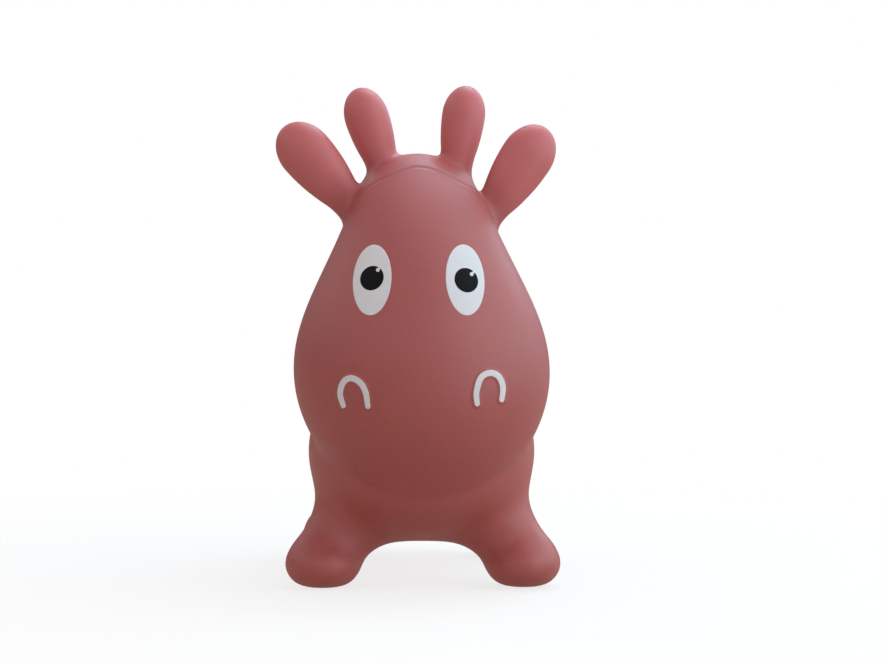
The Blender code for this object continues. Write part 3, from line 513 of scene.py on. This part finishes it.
def seam(bm, point, axis, s0, radius):
    """cuts the net along a plane across a limb, with its points drawn exactly onto the plane and the skin"""
    p0, u = np.array(point), np.array(axis)

    def measured():
        p = coords(bm)
        along = (p - p0) @ u
        return p, along - s0, np.linalg.norm((p - p0) - np.outer(along, u), axis=1)

    p, s, radial = measured()
    near = (np.abs(s) < 0.3 * STEP) & (radial < radius)
    q = p[near]
    for _ in range(3):
        q = q - np.outer((q - p0) @ u - s0, u)
        q = onto_rule(q, 2, stay=u)
    p[near] = q
    set_coords(bm, p, near)
    close = np.where((np.abs(s) < 3 * STEP) & (radial < radius + 3 * STEP))[0]
    bm.verts.ensure_lookup_table()
    allowed = {bm.verts[i] for i in close.tolist()}
    core = [bm.verts[i] for i in close.tolist() if radial[i] < radius]
    faces = [f for f in {f for v in core for f in v.link_faces} if all(v in allowed for v in f.verts)]
    geom = list({v for f in faces for v in f.verts}) + list({e for f in faces for e in f.edges}) + faces
    bmesh.ops.bisect_plane(bm, geom=geom, dist=2e-6, plane_co=tuple(p0 + u * s0), plane_no=tuple(u))
    bm.verts.index_update()
    p, s, radial = measured()
    on = (np.abs(s) < 5e-6) & (radial < radius + STEP)
    p[on] = onto_rule(p[on], 3, stay=u)
    set_coords(bm, p, on)


def divided(bm):
    """cuts the net along its seams and returns, for each piece of skin, its faces"""
    n0, nu = Vector(NECK_PLANE[0]), Vector(NECK_PLANE[1]).normalized()
    for name, (point, axis, s0, _, radius) in LIMBS.items():
        seam(bm, point, axis, s0, radius)
    for s0 in NECK_RING:
        seam(bm, n0, nu, s0, 0.40)
    bm.faces.ensure_lookup_table()
    bm.faces.index_update()
    middle = np.array([f.calc_center_median()[:] for f in bm.faces])
    zone = {}
    for name, (point, axis, s0, _, radius) in LIMBS.items():
        rel = middle - np.array(point)
        height = rel @ np.array(axis)
        radial = np.linalg.norm(rel - np.outer(height, axis), axis=1)
        tip = int(np.argmax(np.where(radial < radius, height, -1.0)))
        ahead = height > s0
        stack, seen = [bm.faces[tip]], {tip}
        while stack:
            f = stack.pop()
            zone[f.index] = name
            for e in f.edges:
                for g in e.link_faces:
                    if g.index not in seen and ahead[g.index]:
                        seen.add(g.index)
                        stack.append(g)
    for f in bm.faces:
        if f.index not in zone:
            s = (middle[f.index] - np.array(n0)) @ np.array(nu)
            zone[f.index] = "head" if s > NECK_RING[1] else "torso" if s < NECK_RING[0] else "neck"
    return zone


# ------------------------------------------------------------------ objects
def keep_rest(mesh):
    """stores where each point is at rest, for patterns that bend with the piece"""
    co = np.empty(len(mesh.vertices) * 3, np.float32)
    mesh.vertices.foreach_get("co", co)
    a = mesh.attributes.new("rest", "FLOAT_VECTOR", "POINT")
    a.data.foreach_set("vector", co)


def linked(name, mesh, mat):
    obj = bpy.data.objects.new(name, mesh)
    bpy.context.scene.collection.objects.link(obj)
    mesh.materials.append(mat)
    return obj


def shell(name, faces, points, normals, mat):
    """a closed piece of skin: these faces outside, the same ones a wall further in, and rims between"""
    used = sorted({i for f in faces for i in f})
    new = {v: i for i, v in enumerate(used)}
    n = len(used)
    p, m = points[used], normals[used]
    outer = [[new[i] for i in f] for f in faces]
    edges = {}
    for f in outer:
        for a, b in zip(f, f[1:] + f[:1]):
            edges[(a, b)] = True
    rims = [(b, a, a + n, b + n) for a, b in edges if (b, a) not in edges]
    inner = [[i + n for i in f[::-1]] for f in outer]
    mesh = bpy.data.meshes.new(name)
    mesh.from_pydata((np.concatenate([p, p - m * WALL]) + PLACE).tolist(), [], outer + inner + rims)
    mesh.validate()
    mesh.shade_smooth()
    mesh.normals_split_custom_set_from_vertices(np.concatenate([m, -m]).tolist())
    keep_rest(mesh)
    # how far out on an ear or a horn each point is; painted light: there the colour is painted lighter, a painted glow
    # standing in for light shining through the thinner wall
    out = soft_step(head_rule(p) / PAINTED_GLOW_REACH) * soft_step((p[:, 2] - 0.36) / 0.05)
    a = mesh.attributes.new("thin", "FLOAT", "POINT")
    a.data.foreach_set("value", np.concatenate([out, out]).astype(np.float32))
    return linked(name, mesh, mat)


def build_skin(mat):
    bm = skin_bmesh()
    zone = divided(bm)
    # the hole for the valve
    axis = np.array((VALVE[0], VALVE[2]))
    hole = [f for f in bm.faces if f.calc_center_median().y > 0.2
            and all(math.hypot(v.co.x - axis[0], v.co.z - axis[1]) < SKIN_HOLE_R for v in f.verts)]
    gone = {f.index for f in hole}
    rim = {v for f in hole for v in f.verts if any(g.index not in gone for g in v.link_faces)}
    for v in rim:
        d = Vector((v.co.x - axis[0], 0, v.co.z - axis[1])).normalized() * SKIN_HOLE_R
        v.co = Vector((axis[0] + d.x, v.co.y, axis[1] + d.z))
    bm.verts.index_update()
    which = np.zeros(len(bm.verts), bool)
    which[[v.index for v in rim]] = True
    p = coords(bm)
    # back onto the skin along the valve's axis only
    for _ in range(6):
        q = p[which]
        g = slope(q)
        q[:, 1] -= skin_rule(q) / np.maximum(g[:, 1], 0.2)
        p[which] = q
    set_coords(bm, p, which)
    points = coords(bm)
    normals = normals_at(points)
    groups = {}
    for f in bm.faces:
        if f.index not in gone:
            groups.setdefault(zone[f.index], []).append([v.index for v in f.verts])
    bm.free()
    return {name: shell(f"skin_{name}", faces, points, normals, mat) for name, faces in groups.items()}


# ------------------------------------------------------------------ printing
def face_points(plan, level):
    """points (x, z) seen from the front, set at this height above the skin of the face"""
    plan = np.asarray(plan, float)
    level = np.broadcast_to(level, len(plan))
    lo, hi = np.full(len(plan), -0.30), np.full(len(plan), -0.10)
    p = np.stack([plan[:, 0], hi, plan[:, 1]], 1)
    for _ in range(36):
        mid = (lo + hi) / 2
        p[:, 1] = mid
        inside = skin_rule(p) < level
        hi = np.where(inside, mid, hi)
        lo = np.where(inside, lo, mid)
    p[:, 1] = hi
    return p


def within(points, loop):
    """which plan points lie inside a closed loop"""
    x, y = points[:, 0][:, None], points[:, 1][:, None]
    ax, ay = loop[:, 0], loop[:, 1]
    bx, by = np.roll(ax, -1), np.roll(ay, -1)
    cross = ((ay > y) != (by > y)) & (x < (bx - ax) * (y - ay) / np.where(by == ay, 1e-12, by - ay) + ax)
    return cross.sum(1) % 2 == 1


def inset(loop, by):
    """a loop drawn in by this much; the loop runs counter-clockwise"""
    d = np.roll(loop, -1, 0) - np.roll(loop, 1, 0)
    d = d / np.maximum(np.linalg.norm(d, axis=1, keepdims=True), 1e-12)
    return loop + np.stack([-d[:, 1], d[:, 0]], 1) * by


def even(loop, n):
    """a closed loop with n points spread evenly along it"""
    q = np.concatenate([loop, loop[:1]])
    s = np.concatenate([[0], np.cumsum(np.linalg.norm(np.diff(q, axis=0), axis=1))])
    t = np.linspace(0, s[-1], n, endpoint=False)
    return np.stack([np.interp(t, s, q[:, 0]), np.interp(t, s, q[:, 1])], 1)


def printed(name, loop, grid, base, top, mat, soft=0.00035):
    """a fine layer of paint on the skin with this outline, with a soft edge"""
    area = 0.5 * np.sum(loop[:, 0] * np.roll(loop[:, 1], -1) - np.roll(loop[:, 0], -1) * loop[:, 1])
    if area < 0:
        loop = loop[::-1]
    n = len(loop)
    rings = [loop, inset(loop, soft * 0.35), inset(loop, soft)]
    heights = [base + (top - base) * 0.62, base + (top - base) * 0.90, top]
    lo, hi = loop.min(0), loop.max(0)
    gx, gz = np.meshgrid(np.arange(lo[0], hi[0], grid), np.arange(lo[1], hi[1], grid))
    gx[1::2] += grid / 2
    inner = np.stack([gx.ravel(), gz.ravel()], 1)
    inner = inner[within(inner, inset(loop, soft + grid * 0.55))]
    plan = np.concatenate([rings[2], inner])
    out = delaunay_2d_cdt([Vector(p) for p in plan], [], [list(range(n))], 1, 1e-7)
    verts2, tris = np.array([tuple(v) for v in out[0]]), [list(f) for f in out[2]]
    where = {tuple(np.round(v, 8)): i for i, v in enumerate(verts2)}
    edge = [where[tuple(np.round(Vector(p).to_2d()[:], 8))] if tuple(np.round(p, 8)) not in where else where[tuple(np.round(p, 8))] for p in rings[2]]
    upper = face_points(verts2, top)
    lower = face_points(verts2, base)
    side_rings = [face_points(r, h) for r, h in zip(rings[:2], heights)]
    side_rings.append(face_points(rings[0], base))
    m = len(verts2)
    pts = np.concatenate([upper, lower] + side_rings)
    o = [2 * m + n * k for k in range(3)]
    faces = []
    for t in tris:
        a, b, c = verts2[t[0]], verts2[t[1]], verts2[t[2]]
        if (b[0] - a[0]) * (c[1] - a[1]) - (b[1] - a[1]) * (c[0] - a[0]) < 0:
            t = t[::-1]
        faces.append(t)
        faces.append([i + m for i in t[::-1]])
    for i in range(n):
        j = (i + 1) % n
        faces.append([edge[j], edge[i], o[1] + i, o[1] + j])
        faces.append([o[1] + j, o[1] + i, o[0] + i, o[0] + j])
        faces.append([o[0] + j, o[0] + i, o[2] + i, o[2] + j])
        faces.append([o[2] + j, o[2] + i, edge[i] + m, edge[j] + m])
    mesh = bpy.data.meshes.new(name)
    mesh.from_pydata((pts + PLACE).tolist(), [], faces)
    mesh.validate()
    bm = bmesh.new()
    bm.from_mesh(mesh)
    bmesh.ops.recalc_face_normals(bm, faces=bm.faces)
    bm.to_mesh(mesh)
    bm.free()
    mesh.shade_smooth()
    mesh.set_sharp_from_angle(angle=math.radians(60))
    keep_rest(mesh)
    return linked(name, mesh, mat)


def oval_loop(centre, half, turn, n):
    a = np.linspace(0, 2 * math.pi, n, endpoint=False)
    x, z = half[0] * np.cos(a), half[1] * np.sin(a)
    c, s = math.cos(turn), math.sin(turn)
    return np.stack([centre[0] + x * c - z * s, centre[1] + x * s + z * c], 1)


def pupil_loop(side):
    """an oval with a keyhole notch where the white shows through as a glint"""
    centre, half, turn = PUPIL[side]
    loop = oval_loop(centre, half, turn, 360)
    g = np.array(GLINT[side])
    out = g - np.array(centre)
    out = out / np.linalg.norm(out)
    across = np.array((-out[1], out[0]))
    rel = loop - g
    t, w = rel @ out, rel @ across
    mouth = (t > 0) & (np.abs(w) < 0.00105 + 0.10 * np.maximum(t, 0))
    keep = np.where(~mouth)[0]
    gap = np.where(np.diff(np.concatenate([keep, keep[:1] + 360])) > 1)[0][0]
    run = np.roll(keep, -(gap + 1))
    body = loop[run]
    r = GLINT_R
    start, end = body[-1] - g, body[0] - g
    w0 = math.asin(min(1.0, 0.00085 / r))
    base = math.atan2(out[1], out[0])
    sign = 1.0 if (start @ across) > 0 else -1.0
    arc = [base + sign * a for a in np.linspace(w0, 2 * math.pi - w0, 44)]
    circle = np.stack([g[0] + r * np.cos(arc), g[1] + r * np.sin(arc)], 1)
    return even(np.concatenate([body, circle]), 220)


def band_loop(side):
    """outline of a nostril's band, a little narrower towards its two ends, which are round"""
    line = nostril_line(side, 64)
    d = np.gradient(line, axis=0)
    d = d / np.linalg.norm(d, axis=1, keepdims=True)
    nrm = np.stack([-d[:, 1], d[:, 0]], 1)
    s = np.linspace(-1, 1, len(line))
    wide = NOSTRIL_BAND / 2 * (1.04 - 0.16 * np.abs(s) ** 3)
    left, right = line + nrm * wide[:, None], line - nrm * wide[:, None]

    def cap(q, t, r, flip):
        a = np.linspace(math.pi / 2, -math.pi / 2, 12)[1:-1] * flip
        return np.stack([q[0] + r * (np.cos(a) * t[0] - np.sin(a) * t[1]), q[1] + r * (np.sin(a) * t[0] + np.cos(a) * t[1])], 1)

    return even(np.concatenate([left, cap(line[-1], d[-1], wide[-1], 1), right[::-1], cap(line[0], -d[0], wide[0], 1)]), 240)


# ------------------------------------------------------------------ valve
def rounded(profile, size=0.0004, steps=3):
    """a profile with its corners rounded"""
    out = []
    for i, q in enumerate(profile):
        q = np.array(q)
        if i in (0, len(profile) - 1) and profile[0][0] == 0.0:
            out.append(q)
            continue
        a, b = np.array(profile[i - 1]) - q, np.array(profile[(i + 1) % len(profile)]) - q
        la, lb = np.linalg.norm(a), np.linalg.norm(b)
        r = min(size, la * 0.45, lb * 0.45)
        p0, p2 = q + a / la * r, q + b / lb * r
        for t in np.linspace(0, 1, steps + 2):
            out.append((1 - t) ** 2 * p0 + 2 * t * (1 - t) * q + t * t * p2)
    return out


def turned(name, profile, mat, sides=72):
    """a solid of revolution about the valve's axis; profile is (radius, distance out of the skin)"""
    bm = bmesh.new()
    closed = profile[0][0] > 0
    verts = [bm.verts.new((VALVE[0] + r, VALVE[1] + d, VALVE[2])) for r, d in profile]
    edges = [bm.edges.new((verts[i], verts[i + 1])) for i in range(len(verts) - 1)]
    if closed:
        edges.append(bm.edges.new((verts[-1], verts[0])))
    bmesh.ops.spin(bm, geom=verts + edges, cent=VALVE, axis=(0, 1, 0), angle=2 * math.pi, steps=sides,
                   use_merge=True, use_duplicate=False)
    bmesh.ops.remove_doubles(bm, verts=bm.verts, dist=0.000005)
    bmesh.ops.translate(bm, verts=bm.verts, vec=tuple(PLACE))
    bmesh.ops.recalc_face_normals(bm, faces=bm.faces)
    mesh = bpy.data.meshes.new(name)
    bm.to_mesh(mesh)
    bm.free()
    mesh.shade_smooth()
    mesh.set_sharp_from_angle(angle=math.radians(38))
    keep_rest(mesh)
    return linked(name, mesh, mat)


# ------------------------------------------------------------------ materials
def node(tree, kind, **values):
    n = tree.nodes.new(kind)
    for k, v in values.items():
        setattr(n, k, v)
    return n


def noise(tree, coords_out, scale, detail=3.0, rough=0.55):
    n = node(tree, "ShaderNodeTexNoise")
    n.inputs["Scale"].default_value = scale
    n.inputs["Detail"].default_value = detail
    n.inputs["Roughness"].default_value = rough
    tree.links.new(coords_out, n.inputs["Vector"])
    return n.outputs["Fac"]


def ramp(tree, fac, stops):
    n = node(tree, "ShaderNodeValToRGB")
    n.color_ramp.interpolation = "EASE"
    while len(n.color_ramp.elements) < len(stops):
        n.color_ramp.elements.new(0.5)
    for e, (pos, colour) in zip(n.color_ramp.elements, stops):
        e.position = pos
        e.color = (*colour, 1.0)
    tree.links.new(fac, n.inputs["Fac"])
    return n.outputs["Color"]


def remap(tree, fac, low, high, a, b):
    n = node(tree, "ShaderNodeMapRange", clamp=True)
    for i, v in enumerate((low, high, a, b)):
        n.inputs[1 + i].default_value = v
    tree.links.new(fac, n.inputs[0])
    return n.outputs[0]


def mixed(tree, fac, a, b, kind="MIX"):
    n = node(tree, "ShaderNodeMix", data_type="RGBA", blend_type=kind)
    for socket, v in ((n.inputs[0], fac), (n.inputs[6], a), (n.inputs[7], b)):
        if isinstance(v, (int, float)):
            socket.default_value = v
        elif isinstance(v, tuple):
            socket.default_value = (*v, 1.0)
        else:
            tree.links.new(v, socket)
    return n.outputs[2]


def plastic(name, low, mid, high, roughness, spread, grain, wave, specular=0.5, sheen=0.0, sheen_rough=0.5,
            sheen_tint=(1, 1, 1), coat=0.0, coat_rough=0.3, cloud=7.0, fleck=420.0, speck=0.04, thin=None, painted_low_shade=None):
    """moulded or printed plastic: clouded colour with fine flecks, uneven gloss, and a fine grain on a slow wave"""
    m = bpy.data.materials.new(name)
    m.use_nodes = True
    t = m.node_tree
    b = t.nodes["Principled BSDF"]
    at = node(t, "ShaderNodeAttribute", attribute_name="rest")
    v = at.outputs["Vector"]
    clouds = noise(t, v, cloud, 3.0, 0.55)
    blots = noise(t, v, cloud * 7.0, 4.0, 0.6)
    flecks = noise(t, v, fleck, 2.0, 0.5)
    colour = ramp(t, clouds, [(0.30, low), (0.50, mid), (0.72, high)])
    tone = ramp(t, blots, [(0.30, (0.982, 0.982, 0.982)), (0.70, (1.015, 1.015, 1.015))])
    colour = mixed(t, 1.0, colour, tone, "MULTIPLY")
    dots = ramp(t, flecks, [(0.33, (1.0 - speck,) * 3), (0.50, (1.0, 1.0, 1.0)), (0.68, (1.0 + speck,) * 3)])
    colour = mixed(t, 1.0, colour, dots, "MULTIPLY")
    # painted light: towards the tips of the ears and horns the colour is mixed to a lighter one, a painted glow for
    # light shining through their walls
    if thin:
        out = node(t, "ShaderNodeAttribute", attribute_name="thin").outputs["Fac"]
        colour = mixed(t, out, colour, thin)
    # painted shade: the colour is multiplied darker and browner towards the bottom, fully below 0.14 m and fading out
    # by 0.34 m up
    if painted_low_shade:
        split = node(t, "ShaderNodeSeparateXYZ")
        t.links.new(v, split.inputs[0])
        colour = mixed(t, 1.0, colour, mixed(t, remap(t, split.outputs["Z"], 0.14, 0.34, 0.0, 1.0), painted_low_shade, (1.0, 1.0, 1.0)), "MULTIPLY")
    t.links.new(colour, b.inputs["Base Color"])
    t.links.new(remap(t, blots, 0.25, 0.75, roughness - spread, roughness + spread), b.inputs["Roughness"])
    waves = noise(t, v, 26.0, 2.0, 0.5)
    fine = noise(t, v, 900.0, 2.0, 0.6)
    b1 = node(t, "ShaderNodeBump")
    b1.inputs["Strength"].default_value = wave
    b1.inputs["Distance"].default_value = 0.0012
    t.links.new(waves, b1.inputs["Height"])
    b2 = node(t, "ShaderNodeBump")
    b2.inputs["Strength"].default_value = grain
    b2.inputs["Distance"].default_value = 0.00012
    t.links.new(fine, b2.inputs["Height"])
    t.links.new(b1.outputs["Normal"], b2.inputs["Normal"])
    t.links.new(b2.outputs["Normal"], b.inputs["Normal"])
    b.inputs["Specular IOR Level"].default_value = specular
    b.inputs["Sheen Weight"].default_value = sheen
    b.inputs["Sheen Roughness"].default_value = sheen_rough
    b.inputs["Sheen Tint"].default_value = (*sheen_tint, 1.0)
    b.inputs["Coat Weight"].default_value = coat
    b.inputs["Coat Roughness"].default_value = coat_rough
    m.diffuse_color = (*mid, 1.0)
    return m


def floor_material():
    """a pale table top, half clear, that fades into the white surroundings far from the object"""
    m = bpy.data.materials.new("pale_floor")
    m.use_nodes = True
    t = m.node_tree
    b = t.nodes["Principled BSDF"]
    at = node(t, "ShaderNodeTexCoord").outputs["Object"]
    f = noise(t, at, 3.0, 4.0, 0.6)
    t.links.new(ramp(t, f, [(0.3, (0.86, 0.86, 0.86)), (0.7, (0.89, 0.89, 0.89))]), b.inputs["Base Color"])
    b.inputs["Roughness"].default_value = 0.75
    b.inputs["Specular IOR Level"].default_value = 0.2
    b.inputs["Emission Color"].default_value = (1.0, 1.0, 1.0, 1.0)
    b.inputs["Emission Strength"].default_value = FLOOR_GLOW
    reach = node(t, "ShaderNodeVectorMath", operation="LENGTH")
    t.links.new(at, reach.inputs[0])
    clear = node(t, "ShaderNodeBsdfTransparent")
    mix = node(t, "ShaderNodeMixShader")
    t.links.new(remap(t, reach.outputs["Value"], *FLOOR_FADE), mix.inputs[0])
    t.links.new(b.outputs[0], mix.inputs[1])
    t.links.new(clear.outputs[0], mix.inputs[2])
    t.links.new(mix.outputs[0], t.nodes["Material Output"].inputs["Surface"])
    return m


# ------------------------------------------------------------------ light, floor, camera
FLOOR_GLOW = 0.08
FLOOR_FADE = (0.25, 1.10, 0.75, 1.0)     # near and far, with how clear the table top is there
LAMPS = (                # name, place, target, size, watts, colour
    ("key", (1.7, -1.5, 1.9), (0.0, 0.0, 0.3), (1.4, 1.4), 11.5, (1.0, 0.78, 0.84)),
    ("top", (0.2, 0.3, 2.6), (0.0, 0.0, 0.2), (1.8, 1.8), 16.7, (1.0, 0.72, 0.70)),
    ("over_right", (1.2, 0.4, 2.2), (0.0, 0.0, 0.3), (1.2, 1.2), 4.9, (0.05, 0.84, 1.0)),
    ("right", (2.3, -0.2, 0.9), (0.0, 0.0, 0.3), (1.5, 1.5), 11.8, (0.60, 0.97, 1.0)),
    ("low_right", (1.9, -1.9, 0.35), (0.0, 0.0, 0.25), (1.0, 1.0), 8.7, (0.41, 0.78, 1.0)),
    ("rim_right", (2.0, 1.2, 0.6), (0.0, 0.0, 0.3), (1.0, 1.2), 3.6, (0.70, 0.86, 1.0)),
    ("back_right", (1.6, 1.8, 1.6), (0.0, 0.0, 0.3), (1.2, 1.2), 10.8, (0.55, 0.84, 1.0)),
    ("hair", (0.25, 0.5, 1.5), (0.01, -0.08, 0.46), (0.6, 0.5), 5.6, (0.39, 0.78, 1.0)),
)
SKY = (                  # share of the way up, colour; the lower half stands in for a warm floor far around
    (0.0, (0.30, 0.24, 0.20)), (0.30, (0.48, 0.385, 0.33)), (0.47, (0.61, 0.50, 0.42)), (0.50, (0.25, 0.25, 0.26)), (0.62, (0.23, 0.23, 0.25)),
    (0.72, (0.92, 0.92, 0.92)), (0.84, (0.92, 0.92, 0.92)), (0.92, (0.10, 0.10, 0.10)), (1.0, (0.10, 0.10, 0.10)),
)


def studio():
    scene = bpy.context.scene
    scene.view_settings.view_transform = "Standard"
    scene.view_settings.look = "None"
    scene.view_settings.exposure = 0.0
    scene.view_settings.gamma = 1.0
    world = bpy.data.worlds.new("studio")
    scene.world = world
    world.use_nodes = True
    t = world.node_tree
    bg = t.nodes["Background"]
    at = node(t, "ShaderNodeTexCoord")
    split = node(t, "ShaderNodeSeparateXYZ")
    t.links.new(at.outputs["Generated"], split.inputs[0])
    height = remap(t, split.outputs["Z"], -1.0, 1.0, 0.0, 1.0)
    sky = ramp(t, height, list(SKY))
    t.links.new(sky, bg.inputs["Color"])
    bg.inputs["Strength"].default_value = 1.0
    plain = node(t, "ShaderNodeBackground")
    plain.inputs["Color"].default_value = (1.0, 1.0, 1.0, 1.0)
    rays = node(t, "ShaderNodeLightPath")
    mix = node(t, "ShaderNodeMixShader")
    t.links.new(rays.outputs["Is Camera Ray"], mix.inputs[0])
    t.links.new(bg.outputs[0], mix.inputs[1])
    t.links.new(plain.outputs[0], mix.inputs[2])
    t.links.new(mix.outputs[0], t.nodes["World Output"].inputs["Surface"])

    for name, place, target, size, watts, colour in LAMPS:
        data = bpy.data.lights.new(name, "AREA")
        data.shape = "RECTANGLE"
        data.size, data.size_y = size
        data.energy = watts
        data.color = colour
        lamp = bpy.data.objects.new(name, data)
        lamp.location = place
        lamp.rotation_euler = (Vector(target) - Vector(place)).to_track_quat("-Z", "Y").to_euler()
        scene.collection.objects.link(lamp)

    bm = bmesh.new()
    bmesh.ops.create_circle(bm, cap_ends=True, segments=96, radius=2.0)
    mesh = bpy.data.meshes.new("floor")
    bm.to_mesh(mesh)
    bm.free()
    floor = linked("floor", mesh, floor_material())

    cam = bpy.data.cameras.new("camera")
    cam.sensor_width = 36.0
    cam.lens = 107.39
    cam.shift_x = 21.0 / 885.0
    cam.clip_start, cam.clip_end = 0.05, 60.0
    obj = bpy.data.objects.new("camera", cam)
    tilt = math.radians(1.5)
    obj.location = (PLACE[0], PLACE[1] - 3.0 * math.cos(tilt), 0.2755 + 3.0 * math.sin(tilt))
    obj.rotation_euler = (math.pi / 2 - tilt, 0.0, 0.0)
    scene.collection.objects.link(obj)
    scene.camera = obj


# ------------------------------------------------------------------ build
def main():
    # the skin's colour carries painted light: a lighter painted glow on the ears and horns, and painted shade low on
    # the body
    skin_mat = plastic("rose_pvc_skin", (0.409, 0.087, 0.084), (0.421, 0.090, 0.087), (0.433, 0.093, 0.090),
                       0.52, 0.05, 0.08, 0.05, specular=0.78, thin=(0.59, 0.134, 0.136), painted_low_shade=(1.0, 0.91, 0.83))
    white_mat = plastic("eye_white_print", (0.755, 0.775, 0.800), (0.770, 0.790, 0.815), (0.785, 0.805, 0.830),
                        0.50, 0.03, 0.03, 0.02, specular=0.35, cloud=30.0, speck=0.006)
    black_mat = plastic("pupil_print", (0.0050, 0.0056, 0.0060), (0.0060, 0.0068, 0.0074), (0.0072, 0.0080, 0.0088),
                        0.55, 0.05, 0.03, 0.02, specular=0.10, cloud=60.0, speck=0.02)
    pale_mat = plastic("nostril_print", (0.76, 0.745, 0.76), (0.79, 0.775, 0.79), (0.82, 0.80, 0.815),
                       0.50, 0.04, 0.04, 0.03, specular=0.35, cloud=60.0, speck=0.010)
    seat_mat = plastic("valve_seat_pvc", (0.34, 0.085, 0.080), (0.37, 0.095, 0.088), (0.40, 0.105, 0.098),
                       0.42, 0.05, 0.08, 0.05, specular=0.5, cloud=60.0)
    plug_mat = plastic("valve_plug_plastic", (0.64, 0.62, 0.58), (0.69, 0.67, 0.63), (0.73, 0.71, 0.67),
                       0.36, 0.05, 0.06, 0.04, specular=0.5, cloud=60.0, speck=0.02)

    skins = build_skin(skin_mat)
    for name, obj in skins.items():
        if name in ("torso", "head"):
            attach(obj, name)
            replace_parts(obj, name)
        elif name == "neck":
            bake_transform(obj)
            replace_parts(obj, "neck_fold")
        else:
            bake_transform(obj)
            kind, _, word = name.rpartition("_")
            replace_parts(obj, name, f"{kind}_root_{word}" if kind else "tail_root")

    for side, word in WORD.items():
        centre, half, turn = EYE[side]
        white = printed(f"eye_print_{word}", even(oval_loop(centre, half, turn, 720), 200), 0.0016, -0.00015, 0.00030, white_mat)
        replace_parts(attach(white, "head"), f"eye_white_{word}", f"eye_glint_{word}")
        black = printed(f"pupil_print_{word}", pupil_loop(side), 0.0013, 0.00022, 0.00052, black_mat, soft=0.00022)
        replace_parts(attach(black, "head"), f"pupil_{word}")
        band = printed(f"nostril_print_{word}", band_loop(side), 0.0011, -0.00015, 0.00045, pale_mat, soft=0.00045)
        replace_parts(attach(band, "head"), f"nostril_{word}")

    top = 0.0004
    seat = turned("valve_seat_ring", rounded([(0.0056, -0.0180), (0.0108, -0.0180), (0.0120, -0.0168), (0.0120, top),
                                              (0.0165, top), (0.0165, top + 0.0010), (0.0150, top + 0.0024), (0.0122, top + 0.0024),
                                              (0.0117, top + 0.0019), (0.0112, top + 0.0024), (0.0066, top + 0.0024), (0.0056, top + 0.0018)]), seat_mat)
    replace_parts(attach(seat, "torso"), "valve_seat")
    h = top + 0.0024 + 0.0003
    plug = turned("valve_plug_cap", rounded([(0.0, -0.0150), (0.0036, -0.0150), (0.0052, -0.0128), (0.0052, -0.0080), (0.0049, -0.0076),
                                             (0.0049, h), (0.0105, h), (0.0105, h + 0.0012), (0.0094, h + 0.0024),
                                             (0.0062, h + 0.0027), (0.0055, h + 0.0022), (0.0, h + 0.0022)]), plug_mat)
    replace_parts(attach(plug, "valve_plug"), "valve_plug")

    studio()


main()
